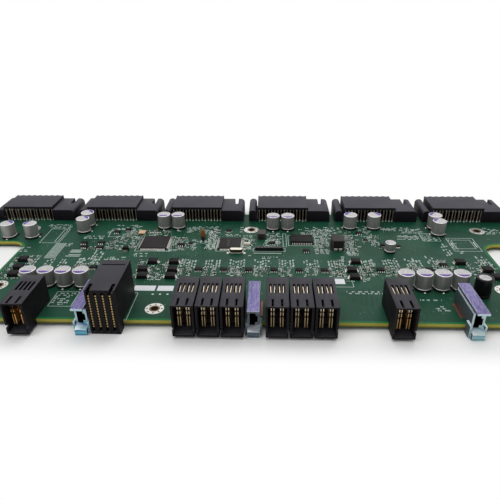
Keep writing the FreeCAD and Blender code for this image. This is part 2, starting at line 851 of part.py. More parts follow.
pocket(guide, "rail_groove_cut", rail_groove, d.guide_reach + d.guide_nose - 2 * d.guide_groove_inset)

left_guide_x = d.signal_x - (d.signal_width + d.guide_width) / 2 - d.guide_side_gap
copy_node("guide_socket_left", guide, left_guide_x)
copy_node("guide_socket_centre", guide, d.centre_guide_x)
copy_node("guide_socket_right", guide, d.right_guide_x)


def make_can(body, label, diameter, height):
    """An aluminium can that stands on its base."""
    sketch = top_sketch(body, label + "_outline", d.can_base_height)
    draw_circle(sketch, (0, 0), diameter)
    pad(body, label + "_shell", sketch, height - d.can_base_height)


def make_base(label, diameter):
    """The square plastic plate under a can, with its two front corners cut off."""
    body = new_body(label)
    half = diameter / 2 + d.base_margin
    sketch = top_sketch(body, label + "_outline")
    draw_outline(sketch, [
        (-half, half),
        (-half, d.base_corner - half),
        (d.base_corner - half, -half),
        (half - d.base_corner, -half),
        (half, d.base_corner - half),
        (half, half),
    ])
    pad(body, label + "_plate", sketch, d.can_base_height)
    return body


def group_node(label, copies):
    """One sub-part that holds copies of masters, each given with its place on the board."""
    group = doc.addObject("Part::Compound", label)
    group.Label = label
    members = []
    for i, (master, x, y) in enumerate(copies, start=1):
        member = new_body(f"{label}_{i}")
        base = member.newObject("PartDesign::FeatureBase", f"{label}_{i}_base")
        base.BaseFeature = master
        member.Tip = base
        place_body(member, x, y)
        members.append(member)
    group.Links = members
    nodes.append(group)


# One comb beside the left wall of each column slot
comb_shift = d.comb_side_gap + (d.comb_thickness - d.column_slot_width) / 2
first_comb = d.signal_x + first_column + comb_shift
comb_places = [first_comb + d.column_pitch * i for i in range(COLUMN_COUNT)]
group_node("signal_contacts", [(comb, x, 0) for x in comb_places])

# Can capacitors
can_master = new_body("can_master")
make_can(can_master, "can", d.can_diameter, d.can_height)
can_base = make_base("can_base_master", d.can_diameter)
can_pitch = d.can_diameter + d.can_gap
can_places = []
for middle in (d.left_row_x, d.right_row_x):
    steps = [i - (ROW_CAN_COUNT - 1) / 2 for i in range(ROW_CAN_COUNT)]
    can_places.extend((middle + can_pitch * step, d.front_row_setback) for step in steps)
for x, y, direction, gap in REAR_CAN_PAIRS:
    half_step = (d.can_diameter + gap) / 2
    step_x = half_step if direction == "x" else as_size(0)
    step_y = half_step if direction == "y" else as_size(0)
    can_places.extend((across_wings(x) + step_x * sign, along(y) + step_y * sign) for sign in (-1, 1))
group_node("can_capacitors", [(can_master, x, y) for x, y in can_places])

small_can = new_node("small_capacitor")
small_x, small_y = on_neck(SMALL_CAN_PLACE)
make_can(small_can, "small_can", d.small_can_diameter, d.small_can_height)
place_body(small_can, small_x, small_y)
small_base = make_base("small_base_master", d.small_can_diameter)
all_bases = [(can_base, x, y) for x, y in can_places]
all_bases.append((small_base, small_x, small_y))
group_node("capacitor_bases", all_bases)

# The sleeved can stands beside the last can of the right row, a little in front of it
sleeved = new_node("sleeved_capacitor")
last_can_x, last_can_y = can_places[2 * ROW_CAN_COUNT - 1]
sleeve_x = last_can_x + (d.can_diameter + d.sleeve_diameter) / 2 + d.sleeve_gap
sleeve_y = last_can_y - d.sleeve_advance
sleeve_outline = top_sketch(sleeved, "sleeve_outline")
draw_circle(sleeve_outline, (0, 0), d.sleeve_diameter)
pad(sleeved, "sleeved_can", sleeve_outline, d.sleeve_height)
place_body(sleeved, sleeve_x, sleeve_y)


def moulded_parts(label, places, width, depth, height, draft=None, radius=None):
    """One node of equal parts that stand on the board at the given places."""
    body = new_node(label)
    sketch = top_sketch(body, label + "_outline")
    for part_place in places:
        draw_centred(sketch, part_place, width, depth, radius)
    pad(body, label + "_block", sketch, height, draft=draft)
    return body


def chamfered_part(label, place, width, depth, height, chamfer):
    """One upright block with its four corners cut off."""
    body = new_node(label)
    x, y = place
    left, right = x - width / 2, x + width / 2
    low, high = y - depth / 2, y + depth / 2
    sketch = top_sketch(body, label + "_outline")
    draw_outline(sketch, [
        (left + chamfer, low),
        (right - chamfer, low),
        (right, low + chamfer),
        (right, high - chamfer),
        (right - chamfer, high),
        (left + chamfer, high),
        (left, high - chamfer),
        (left, low + chamfer),
    ])
    pad(body, label + "_block", sketch, height)


# Chips, diodes and transistors
moulded_parts("processor_chip", [on_neck(PROCESSOR_PLACE)], d.processor_size, d.processor_size,
              d.processor_height, draft=d.mould_draft)
moulded_parts("logic_chip", [on_neck(LOGIC_PLACE)], d.logic_width, d.logic_depth,
              d.logic_height, draft=d.mould_draft)
moulded_parts("driver_chip", [on_neck(DRIVER_PLACE)], d.driver_width, d.driver_depth,
              d.driver_height, draft=d.mould_draft)
row_x, row_y = on_neck(CONTROLLER_ROW_PLACE)
controller_places = [(row_x + d.controller_pitch * i, row_y) for i in range(CONTROLLER_ROW_COUNT)]
controller_places += [on_neck(lone) for lone in LONE_CONTROLLER_PLACES]
moulded_parts("controller_chips", controller_places, d.controller_width, d.controller_depth,
              d.controller_height, draft=d.mould_draft)
moulded_parts("power_diodes", [on_neck(spot) for spot in DIODE_PLACES], d.diode_width, d.diode_depth,
              d.diode_height, draft=d.mould_draft)
moulded_parts("small_transistors", [on_neck(spot) for spot in TRANSISTOR_PLACES], d.transistor_width,
              d.transistor_depth, d.transistor_height, draft=d.mould_draft)

# Crystal, oscillator, inductor and filter block
moulded_parts("crystal", [on_neck(CRYSTAL_PLACE)], d.crystal_length, d.crystal_depth, d.crystal_height,
              radius=(d.crystal_depth - d.crystal_end_flat) / 2)
moulded_parts("oscillator", [on_neck(OSCILLATOR_PLACE)], d.oscillator_width, d.oscillator_depth,
              d.oscillator_height)
chamfered_part("power_inductor", on_neck(INDUCTOR_PLACE), d.inductor_width, d.inductor_depth,
               d.inductor_height, d.inductor_chamfer)
chamfered_part("filter_block", on_neck(FILTER_PLACE), d.filter_width, d.filter_depth,
               d.filter_height, d.filter_chamfer)

# Pin header: a low strip with one square hole for each pin
header_x, header_y = on_neck(HEADER_PLACE)
header_length = d.header_pitch * HEADER_COUNT
header = moulded_parts("pin_header", [(header_x, header_y)], header_length, d.header_depth, d.header_height)
header_hole = top_sketch(header, "header_hole", d.header_height)
first_pin = header_x - d.header_pitch * (HEADER_COUNT - 1) / 2
draw_centred(header_hole, (first_pin, header_y), d.header_hole, d.header_hole)
hole_cut = pocket(header, "header_hole_cut", header_hole, d.header_hole_depth)
repeat(header, "header_hole_row", hole_cut, "H_Axis", d.header_pitch, HEADER_COUNT)

# Dipped capacitor: an upright rounded tablet
dipped = new_node("dipped_capacitor")
dipped_x, dipped_y = on_neck(DIPPED_PLACE)
tablet = front_sketch(dipped, "tablet_outline", dipped_y)
draw_outline(tablet, [
    (dipped_x - d.dipped_width / 2, 0),
    (dipped_x + d.dipped_width / 2, 0),
    (dipped_x + d.dipped_width / 2, d.dipped_height, d.dipped_round),
    (dipped_x - d.dipped_width / 2, d.dipped_height, d.dipped_round),
])
pad(dipped, "tablet", tablet, d.dipped_depth, symmetric=True)

# Bare paper labels
labels = new_node("board_labels")
label_sketch = top_sketch(labels, "label_outlines")
strip_x, strip_y = on_neck(STRIP_LABEL_PLACE)
strip_left = strip_x - (d.long_label_width + d.label_gap + d.short_label_width) / 2
split = strip_left + d.long_label_width + d.label_gap
draw_rectangle(label_sketch, strip_left, strip_y - d.label_depth / 2,
               strip_left + d.long_label_width, strip_y + d.label_depth / 2)
draw_rectangle(label_sketch, split, strip_y - d.label_depth / 2,
               split + d.short_label_width, strip_y + d.label_depth / 2)
draw_centred(label_sketch, on_neck(SQUARE_LABEL_PLACE), d.square_label_size, d.square_label_size)
pad(labels, "label_sheets", label_sketch, d.label_thickness)

# Every object has to be sound before anything is written
doc.recompute()
for item in doc.Objects:
    if "Invalid" in item.State or "Error" in item.State:
        raise RuntimeError(f"{item.Name} failed: {item.State}")
    if item.TypeId == "PartDesign::Pocket" and item.Shape.Volume >= item.BaseFeature.Shape.Volume:
        raise RuntimeError(f"{item.Name} cuts nothing")
for node in nodes:
    if node.Shape.isNull() or not node.Shape.isValid():
        raise RuntimeError(f"{node.Label} has no sound shape")

os.makedirs("parts", exist_ok=True)
for node in nodes:
    node.Shape.exportStep(f"parts/{node.Label}.step")
print(f"wrote {len(nodes)} sub-parts")
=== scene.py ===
# %% [markdown]
# # Dressing a power backplane board
#
# The packed solids give every part of the board its size and place. This lesson adds what a
# camera would see on the real one: ink, leads, solder, rolled cans and moulded plastic.
# Everything is measured in millimetres from the board's front edge and top face, and becomes
# metres only when a mesh is made, so each number can be checked with a ruler.

# %% Load the frame
import json
import bmesh
import bpy
import numpy as np
from mathutils import Matrix, Vector


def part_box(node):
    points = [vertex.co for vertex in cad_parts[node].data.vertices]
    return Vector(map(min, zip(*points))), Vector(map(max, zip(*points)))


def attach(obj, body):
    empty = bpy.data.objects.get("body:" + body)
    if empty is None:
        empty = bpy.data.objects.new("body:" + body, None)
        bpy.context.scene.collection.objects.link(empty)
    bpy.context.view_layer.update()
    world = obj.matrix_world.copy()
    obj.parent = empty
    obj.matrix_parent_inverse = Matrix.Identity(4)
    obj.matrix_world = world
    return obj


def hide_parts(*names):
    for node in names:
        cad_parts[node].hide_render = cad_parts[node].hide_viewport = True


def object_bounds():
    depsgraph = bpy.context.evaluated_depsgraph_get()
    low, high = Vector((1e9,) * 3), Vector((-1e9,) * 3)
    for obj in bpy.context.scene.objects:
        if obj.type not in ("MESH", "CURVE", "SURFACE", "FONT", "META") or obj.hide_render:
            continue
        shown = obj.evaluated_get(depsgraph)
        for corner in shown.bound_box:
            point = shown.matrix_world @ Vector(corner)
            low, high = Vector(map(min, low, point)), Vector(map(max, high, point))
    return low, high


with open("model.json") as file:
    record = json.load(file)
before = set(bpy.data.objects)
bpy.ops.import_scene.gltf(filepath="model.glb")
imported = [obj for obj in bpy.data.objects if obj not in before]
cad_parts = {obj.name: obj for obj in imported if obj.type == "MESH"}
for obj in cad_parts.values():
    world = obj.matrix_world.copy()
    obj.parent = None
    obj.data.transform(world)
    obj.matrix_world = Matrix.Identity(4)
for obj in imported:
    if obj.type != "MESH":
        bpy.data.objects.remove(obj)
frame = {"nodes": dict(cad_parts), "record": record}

cad_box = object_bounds()
MM = 0.001
X, Y, Z = range(3)
board_low, board_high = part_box("circuit_board")
FRONT_EDGE = board_low.y / MM
BOARD_TOP = board_high.z / MM
BOARD_DEPTH = (board_high.y - board_low.y) / MM
BOARD_THICKNESS = (board_high.z - board_low.z) / MM
BOARD_HALF = board_high.x / MM
ORIGIN = np.array([0.0, FRONT_EDGE, BOARD_TOP])
print(f"{len(frame['nodes'])} solids, board {BOARD_DEPTH:.1f} mm deep, {BOARD_THICKNESS:.1f} mm thick")

# %% [markdown]
# ## Shader maths as Python
#
# A material is a small program. Wiring Math nodes by hand hides the formula, so one class wraps
# a socket and lets Python's own operators add the nodes. `1 - mask` then reads as it would on paper.

# %% A socket that can be added, multiplied and compared
def operator(operation, swapped=False):
    """A method that adds one Math node to the tree and gives back its output."""
    def method(self, *others):
        values = (*others, self) if swapped else (self, *others)
        return self.finish.node("ShaderNodeMath", {"operation": operation}, dict(enumerate(values)))
    return method


class Wire:
    """One output socket in a node tree. An expression on wires and numbers adds its Math nodes."""

    def __init__(self, finish, socket):
        self.finish = finish
        self.socket = socket

    __add__ = __radd__ = operator("ADD")
    __mul__ = __rmul__ = operator("MULTIPLY")
    __sub__ = operator("SUBTRACT")
    __rsub__ = operator("SUBTRACT", swapped=True)
    __gt__ = operator("GREATER_THAN")
    __lt__ = operator("LESS_THAN")
    __or__ = operator("MAXIMUM")
    __abs__ = operator("ABSOLUTE")


print("a wire takes + - * < > | and abs")

# %% [markdown]
# Every finish below is one Principled shader with a few patterns in front of it. Constants go
# straight onto the shader's sockets. Patterns read object coordinates, so they keep their size in
# millimetres on every piece, and colours pass through Mix nodes, because a Math node turns them grey.

# %% A material and the nodes that the recipes ask for
SHORT_NAMES = {"specular": "Specular IOR Level"}
MIX_FACTOR, MIX_FIRST, MIX_SECOND, MIX_COLOUR = 0, 6, 7, 2


class Finish:
    """One material, or the world: its tree, its shader and the few nodes that recipes ask for."""

    def __init__(self, name, family="materials", shader="Principled BSDF", **constants):
        self.material = getattr(bpy.data, family).new(name)
        self.material.use_nodes = True
        self.tree = self.material.node_tree
        self.shader = self.tree.nodes[shader]
        for key, value in constants.items():
            socket = SHORT_NAMES.get(key, key.replace("_", " ").title())
            self.shader.inputs[socket].default_value = value

    def node(self, kind, settings=None, sockets=None, output=0):
        """Adds a node, sets it up, then fills its sockets with values or links."""
        node = self.tree.nodes.new(kind)
        for key, value in (settings or {}).items():
            setattr(node, key, value)
        for key, value in (sockets or {}).items():
            if isinstance(value, Wire):
                self.tree.links.new(value.socket, node.inputs[key])
            else:
                node.inputs[key].default_value = value
        return Wire(self, node.outputs[output])

    def place(self):
        """Object coordinates, in metres."""
        return self.node("ShaderNodeTexCoord", output="Object")

    def along(self, axis):
        """One object coordinate, in metres."""
        return self.node("ShaderNodeSeparateXYZ", None, {0: self.place()}, output=axis)

    def facing(self, axis):
        """One part of the surface's own normal: 1 where it faces along that axis."""
        normal = self.node("ShaderNodeTexCoord", output="Normal")
        return self.node("ShaderNodeSeparateXYZ", None, {0: normal}, output=axis)

    def length(self, *parts):
        """Length of the vector with these parts."""
        vector = self.node("ShaderNodeCombineXYZ", None, dict(enumerate(parts)))
        return self.node("ShaderNodeVectorMath", {"operation": "LENGTH"}, {0: vector}, output="Value")

    def step(self, value, low, high):
        """Smooth step from 0 at low to 1 at high."""
        return self.node("ShaderNodeMapRange", {"interpolation_type": "SMOOTHSTEP"},
                         {"Value": value, "From Min": low, "From Max": high})

    def above(self, low, high, wobble=0.0):
        """Smooth step between two heights in mm over the board's top, made ragged by a wobble in metres."""
        return self.step(self.along(Z) + wobble, (BOARD_TOP + low) * MM, (BOARD_TOP + high) * MM)

    def edge(self):
        """1 on rounded edges, where the normal points between the axes instead of along one."""
        flat = abs(self.facing(X)) | abs(self.facing(Y)) | abs(self.facing(Z))
        return 1 - self.step(flat, 0.86, 0.97)

    def noise(self, grain_mm, detail=2.0, stretch=(1, 1, 1)):
        """Noise whose blobs are about grain_mm across, stretched along each axis."""
        scale = tuple(1 / part for part in stretch)
        spot = self.node("ShaderNodeMapping", None, {"Vector": self.place(), "Scale": scale})
        return self.node("ShaderNodeTexNoise", None,
                         {"Vector": spot, "Scale": 1 / (grain_mm * MM), "Detail": detail})

    def wave(self, axis, scale, distortion, detail=2.0, detail_scale=1.0):
        """Bands across one axis, from 0 to 1 and back, bent by the distortion."""
        return self.node("ShaderNodeTexWave", {"bands_direction": axis},
                         {"Vector": self.place(), "Scale": scale, "Distortion": distortion,
                          "Detail": detail, "Detail Scale": detail_scale}, output=1)

    def mix(self, factor, first, second):
        """First colour where the factor is 0, second where it is 1."""
        first, second = [c if isinstance(c, Wire) else (*c, 1.0) for c in (first, second)]
        return self.node("ShaderNodeMix", {"data_type": "RGBA"},
                         {MIX_FACTOR: factor, MIX_FIRST: first, MIX_SECOND: second}, output=MIX_COLOUR)

    def paint(self, socket, wire):
        """Feeds one of the shader's sockets."""
        self.tree.links.new(wire.socket, self.shader.inputs[socket])

    def done(self, colour, roughness, relief=None, depth_mm=0.0, strength=1.0):
        """Paints colour and roughness, adds a bump where there is relief, and gives the material."""
        self.paint("Base Color", colour)
        self.paint("Roughness", roughness)
        if relief:
            bump = {"Height": relief, "Distance": depth_mm * MM, "Strength": strength}
            self.paint("Normal", self.node("ShaderNodeBump", None, bump))
        return self.material


print("a finish offers", *(name for name in vars(Finish) if not name.startswith("_")))

# %% [markdown]
# ## Finishes
#
# The board is green solder mask over copper: pours show as slightly lighter fields and tracks as
# fine lines. Its sawn edge is bare glass fibre, olive yellow, and the copper stops short of it, which
# leaves a brighter rim. A picture could be laid over all this, but a procedural material keeps one
# scale everywhere, and it can be baked later.

# %% Solder mask on the board
NECK_HALF, SHOULDER, SHOULDER_ROUND = 170.0, 98.8, 11.0
BARE_RIM = 1.8
finishes = {}


def board_rim(f):
    """1 on the strip along the outline: front, back, both ends, neck, shoulders and their round corners."""
    across = abs(f.along(X))
    depth = f.along(Y) - FRONT_EDGE * MM
    turn_x = (NECK_HALF + SHOULDER_ROUND) * MM
    turn_y = (SHOULDER - SHOULDER_ROUND) * MM
    from_corner = f.length(across - turn_x, depth - turn_y)
    return ((depth < BARE_RIM * MM) | (depth > (BOARD_DEPTH - BARE_RIM) * MM)
            | (across > (BOARD_HALF - BARE_RIM) * MM)
            | (across > (NECK_HALF - BARE_RIM) * MM) * (depth < turn_y)
            | (across > turn_x) * (depth < (SHOULDER + BARE_RIM) * MM)
            | (from_corner < (SHOULDER_ROUND + BARE_RIM) * MM))


def solder_mask():
    """Greens for bare and poured ground, then tracks, grain, vias and rim. Sawn sides are yellow, with
    painted shade on their lower part.
    """
    f = Finish("solder_mask", specular=0.10)
    pours = f.step(f.noise(26, 3.0, (1.6, 1, 1)), 0.47, 0.53)
    grain = f.noise(0.9, 3.0)
    tracks = (f.wave("X", 95.0, 5.0, 1.0, 0.6) > 0.82) * f.step(f.noise(14, 1.0), 0.5, 0.6)
    cells = f.node("ShaderNodeTexVoronoi", None, {"Vector": f.place(), "Scale": 330.0})
    vias = (cells < 0.12) * f.step(f.noise(18, 1.0), 0.5, 0.56) * (f.facing(Z) > 0.5)
    green = f.mix(pours, (0.006, 0.052, 0.027), (0.010, 0.066, 0.036))
    green = f.mix(tracks * 0.3, green, (0.018, 0.105, 0.060))
    green = f.mix(grain * 0.25, green, (0.004, 0.034, 0.020))
    green = f.mix(vias * 0.7, green, (0.30, 0.34, 0.31))
    green = f.mix(board_rim(f) * 0.85, green, (0.008, 0.150, 0.045))
    sawn = 1 - f.step(abs(f.facing(Z)), 0.4, 0.6)
    layers = f.wave("Z", 260.0, 0.4)
    edge = f.mix(f.noise(3.0, 2.0, (4, 4, 1)), (0.52, 0.49, 0.095), (0.38, 0.355, 0.072))
    edge = f.mix(layers * 0.25, edge, (0.13, 0.115, 0.02))
    # Painted shade: the sawn edge is darkened below about 2 mm under the top face.
    edge = f.mix((1 - f.above(-2.3, -1.7)) * 0.75, edge, (0.055, 0.05, 0.025))
    roughness = 0.34 + 0.22 * grain + 0.3 * sawn
    return f.done(f.mix(sawn, green, edge), roughness, tracks * 0.6 + pours * 0.6, 0.03, 0.35)


finishes["board"] = solder_mask()
print("solder mask:", len(finishes["board"].node_tree.nodes), "nodes")

# %% [markdown]
# Moulded plastic is never quite smooth: the mould is spark eroded, which leaves a fine grain, and
# handling polishes the edges paler, which here also stands for a painted highlight. Faces that look up
# are painted paler, as painted light from above. One recipe with a few numbers covers housings, chips,
# ceramic, paper and ink, so they differ only where the real ones do.

# %% Plastics, ceramics, paper and ink
DRIFT_MM = 9.0
CHIP_GRAIN = dict(grain_mm=0.22, depth_mm=0.015, specular=0.05, edges=0.3)
FERRITE_GRAIN = dict(grain_mm=0.3, depth_mm=0.03, specular=0.06, edges=0.4)
CERAMIC_GRAIN = dict(grain_mm=0.5, depth_mm=0.01, worn=0.2)
PRINT_GRAIN = dict(grain_mm=0.4, depth_mm=0.004)


def paler(colour, gain, offset):
    """A colour times gain plus offset, kept within 1."""
    return tuple(min(1, part * gain + offset) for part in colour)


def moulding(name, colour, roughness, grain_mm=0.35, depth_mm=0.02, worn=0.5, specular=0.25,
             edges=0.0, painted_top_light=None):
    """A matt colour that drifts over centimetres, with a fine grain, paler edges and painted light on faces
    that look up.
    """
    f = Finish(name, specular=specular)
    grain = f.noise(grain_mm, 3.0)
    drift = f.noise(DRIFT_MM, 2.0)
    tone = f.mix(drift * worn + grain * 0.25, colour, paler(colour, 1.6, 0.003))
    # Painted light: faces that look up take a paler colour, as if lit from above.
    if painted_top_light:
        tone = f.mix(f.step(f.facing(Z), 0.7, 0.95) * (0.8 + 0.3 * drift), tone, painted_top_light)
    # Paler rounded edges: partly wear from handling, partly a painted highlight.
    if edges:
        tone = f.mix(f.edge() * edges, tone, paler(painted_top_light or colour, 1.5, 0.02))
    return f.done(tone, roughness - 0.08 + 0.16 * grain, grain, depth_mm, 0.6)


finishes.update({
    "plastic": moulding("charcoal_moulding", (0.0065, 0.0055, 0.0065), 0.50, specular=0.07, edges=0.35,
                        painted_top_light=(0.048, 0.046, 0.055)),
    "socket": moulding("slate_moulding", (0.010, 0.009, 0.012), 0.55, grain_mm=0.5, depth_mm=0.03, worn=0.6,
                       specular=0.07, edges=0.35, painted_top_light=(0.070, 0.069, 0.083)),
    "base": moulding("black_moulding", (0.006, 0.006, 0.006), 0.34, grain_mm=0.25, depth_mm=0.01),
    "sleeve": moulding("shrink_sleeve", (0.005, 0.005, 0.006), 0.28, grain_mm=1.5, specular=0.14),
    "epoxy": moulding("chip_epoxy", (0.009, 0.0075, 0.008), 0.50, painted_top_light=(0.014, 0.0125, 0.013), **CHIP_GRAIN),
    "brown_epoxy": moulding("brown_epoxy", (0.014, 0.012, 0.011), 0.50, painted_top_light=(0.026, 0.023, 0.024),
                            **CHIP_GRAIN),
    "ferrite": moulding("pressed_ferrite", (0.017, 0.015, 0.014), 0.6, painted_top_light=(0.056, 0.052, 0.052),
                        **FERRITE_GRAIN),
    "brown_ferrite": moulding("brown_ferrite", (0.030, 0.025, 0.023), 0.6, painted_top_light=(0.100, 0.086, 0.080),
                              **FERRITE_GRAIN),
    "ceramic": moulding("peach_ceramic", (0.56, 0.38, 0.22), 0.45, **CERAMIC_GRAIN),
    "cream": moulding("cream_ceramic", (0.60, 0.54, 0.45), 0.45, **CERAMIC_GRAIN),
    "tan": moulding("passive_ceramic", (0.085, 0.064, 0.050), 0.5, grain_mm=0.3, depth_mm=0.01, worn=0.6),
    "paper": moulding("label_paper", (0.70, 0.71, 0.74), 0.7, worn=0.15, **PRINT_GRAIN),
    "ink": moulding("board_ink", (0.52, 0.59, 0.56), 0.6, worn=0.3, **PRINT_GRAIN),
    "violet": moulding("violet_ink", (0.085, 0.028, 0.25), 0.4, worn=0.3, **PRINT_GRAIN),
})
print(len(finishes), "finishes with the mouldings")

# %% [markdown]
# Metals differ by roughness and tint. Tin is pale, gold flash is warm, and a plated hole is brown
# inside, darkened further as painted shade. Socket tails are tinned at both ends, with painted shade in
# brown between them. The contacts get painted light and shade: one tint deep in the housing and another
# up in the slots, so height picks between two pairs, and the end receptacles get lit copies.

# %% Plated metals and contacts
# Painted light and shade on one gold flash: the brown deep tints stand for shade in the housing, the cream
# slot tints for light up in the slots, the orange and amber pairs for the lit end receptacles, and
# SHADED_TINTS for painted shade in the first receptacle's slots.
BROWN_TINTS = (0.42, 0.32, 0.18), (0.24, 0.165, 0.085)
AMBER_TINTS = (0.55, 0.33, 0.12), (0.26, 0.145, 0.055)
ORANGE_TINTS = (0.80, 0.46, 0.16), (0.46, 0.22, 0.07)
CREAM_TINTS = (0.72, 0.62, 0.46), (0.46, 0.37, 0.25)
SHADED_TINTS = (0.05, 0.035, 0.025), (0.02, 0.015, 0.012)


def plated(name, colour, tint, roughness, streak=(1, 1, 1), metallic=1.0):
    """Metal whose tint and gloss follow fine streaks."""
    f = Finish(name, metallic=metallic)
    streaks = f.noise(0.8, 3.0, streak)
    return f.done(f.mix(streaks, colour, tint), roughness - 0.06 + 0.16 * streaks, streaks, 0.006, 0.4)


def socket_tail():
    """Tinned at both ends of the tail, with painted shade in brown between them."""
    f = Finish("socket_tail", metallic=0.7)
    # Painted shade: from about 2 to 8 mm up the tail, the tin is painted brown and dark.
    shade = f.above(0.8, 2.2) * (1 - f.above(7.8, 9.2))
    streaks = f.noise(0.5, 2.0, (1, 1, 4))
    tin = f.mix(streaks, (0.82, 0.77, 0.69), (0.58, 0.53, 0.46))
    return f.done(f.mix(shade * 0.72, tin, (0.24, 0.135, 0.085)), 0.3 + 0.15 * streaks)


def flashed_contact(name, deep_tints, slot_tints):
    """Gold over nickel with painted light and shade: one pair of tints in the depth of the housing, another
    up in the slots.
    """
    f = Finish(name, metallic=0.75)
    streaks = f.noise(0.6, 2.0, (1, 4, 4))
    rise = f.above(8.0, 13.5, 1.0 * MM * streaks)
    # Painted shade: contacts above 14 mm and in front of the board's edge, seen through the front slots, are
    # painted nearly black.
    brow_shade = f.above(14.0, 14.8) * (f.along(Y) < FRONT_EDGE * MM)
    tone = f.mix(rise, f.mix(streaks, *deep_tints), f.mix(streaks, *slot_tints))
    return f.done(f.mix(brow_shade, tone, (0.012, 0.009, 0.007)), 0.26 + 0.14 * streaks)


finishes.update({
    "tin": plated("tin_plate", (0.70, 0.69, 0.65), (0.48, 0.46, 0.42), 0.30, metallic=0.7),
    "gold": plated("gold_flash", (0.80, 0.60, 0.30), (0.56, 0.37, 0.14), 0.26, (1, 1, 5)),
    # Painted shade: a dark brown metal for the contact spines inside the slots.
    "tarnish": plated("tarnished_contact", (0.075, 0.058, 0.042), (0.035, 0.028, 0.022), 0.4, metallic=0.5),
    # The plated barrel's brown is darkened as painted shade, for the inside of the holes.
    "barrel": plated("plated_barrel", (0.15, 0.095, 0.040), (0.07, 0.045, 0.022), 0.35, (1, 1, 3), 0.6),
    "copper": plated("bare_copper", (0.24, 0.075, 0.042), (0.12, 0.036, 0.022), 0.4, metallic=0.4),
    "tail": socket_tail(),
    "contact": flashed_contact("flashed_contact", BROWN_TINTS, CREAM_TINTS),
    # Lit copies for the two end receptacles, painted brighter deep in the housing; the first one's slots get
    # painted shade.
    "lit_orange_contact": flashed_contact("lit_orange_contact", ORANGE_TINTS, SHADED_TINTS),
    "lit_amber_contact": flashed_contact("lit_amber_contact", AMBER_TINTS, CREAM_TINTS),
})
print(len(finishes), "finishes with the plated metals")

# %% [markdown]
# Zinc guides carry a passivation film whose colour depends on its thickness: violet on the flat top,
# cyan ripples on the jaw, and each of the three has its own tint, the centre one's darker as painted
# shade. Their sides are painted dark as shade and their edges pale as highlights. Cans are rolled
# aluminium with a matt lid, and their rim and foot are painted bright as highlights. The crystal is
# pressed steel with painted shade on its steep sides, and the dipped capacitor is resin that darkens
# at its foot. In each, the direction that a face looks and its height choose the colour.

# %% Zinc, aluminium, steel and resin
def passivated_zinc(name, jaw_tints, face):
    """Violet mottled top, two tints rippling down the jaw, a paler face, sides painted dark as shade, edges
    painted pale as highlights.
    """
    f = Finish(name, metallic=0.35, specular=0.3)
    film = f.noise(1.1, 4.0, (0.7, 3.2, 1.0))
    speck = f.noise(0.35, 2.0)
    top = f.step(f.facing(Z), 0.6, 0.8)
    front = f.step(0 - f.facing(Y), 0.6, 0.8) | top * (1 - f.above(10.5, 11.5))
    # Painted shade: the sides, facing neither up nor forward, take dark steel.
    steel = f.mix(film, (0.085, 0.105, 0.115), (0.040, 0.055, 0.065))
    violet = f.mix(f.step(film, 0.38, 0.62), (0.075, 0.062, 0.215), (0.185, 0.155, 0.325))
    ripple = f.wave("Z", 150.0, 3.0, 2.0, 2.0)
    jaw = f.mix(f.step(ripple, 0.35, 0.65), *jaw_tints)
    jaw = f.mix(f.above(2.0, 3.6, 1.2 * MM * film), jaw, face)
    colour = f.mix(front, f.mix(top, steel, violet), jaw)
    # Painted highlight: rounded edges are painted pale.
    colour = f.mix(f.edge() * 0.8, colour, (0.68, 0.70, 0.74))
    colour = f.mix(f.step(speck, 0.45, 0.75) * 0.3, colour, (0.46, 0.46, 0.58))
    return f.done(colour, 0.28 + 0.2 * speck, speck, 0.01, 0.3)


def can_metal():
    """Rolled wall with upright brush marks, matt grey lid, and a rolled rim and foot painted bright as
    highlights.
    """
    f = Finish("can_metal", specular=0.4)
    top = f.step(f.facing(Z), 0.92, 0.99)
    # Painted highlight: faces between wall and lid, on the rolled rim and the foot, are painted near white.
    rim = f.step(f.facing(Z), 0.25, 0.6) * (1 - top) * (0.75 + 0.25 * f.above(4.0, 4.5))
    rolled = f.noise(1.2, 3.0, (1, 1, 6))
    side = f.mix(rolled, (0.33, 0.33, 0.315), (0.20, 0.20, 0.19))
    lid = f.mix(f.step(f.noise(1.1, 3.0), 0.4, 0.62), (0.56, 0.55, 0.56), (0.43, 0.42, 0.43))
    f.paint("Metallic", 0.5 - 0.35 * top)
    colour = f.mix(rim, f.mix(top, side, lid), (0.86, 0.86, 0.86))
    return f.done(colour, 0.40 + 0.12 * rolled + 0.10 * top, rolled, 0.01, 0.25)


def pressed_steel():
    """Pale brushed steel on the flat top and flange, painted dark as shade on the steep sides of the tub."""
    f = Finish("pressed_steel", metallic=0.8)
    brushed = f.noise(0.8, 3.0, (6, 1, 1))
    pale = f.mix(brushed, (0.66, 0.62, 0.54), (0.48, 0.44, 0.37))
    # Painted shade: steep sides dark, flat top and flange pale, on one steel.
    colour = f.mix(f.step(f.facing(Z), 0.35, 0.75), (0.075, 0.068, 0.055), pale)
    return f.done(colour, 0.24 + 0.16 * brushed)


def dipped_resin():
    """Orange resin above, darker where the drop thins out near the board."""
    f = Finish("dipped_resin", specular=0.5)
    drift = f.noise(1.6, 3.0)
    orange_part = f.above(4.0, 6.2, 1.2 * MM * drift)
    colour = f.mix(orange_part, (0.022, 0.014, 0.012), (0.25, 0.100, 0.026))
    return f.done(colour, 0.22 + 0.2 * drift, drift, 0.05, 0.4)


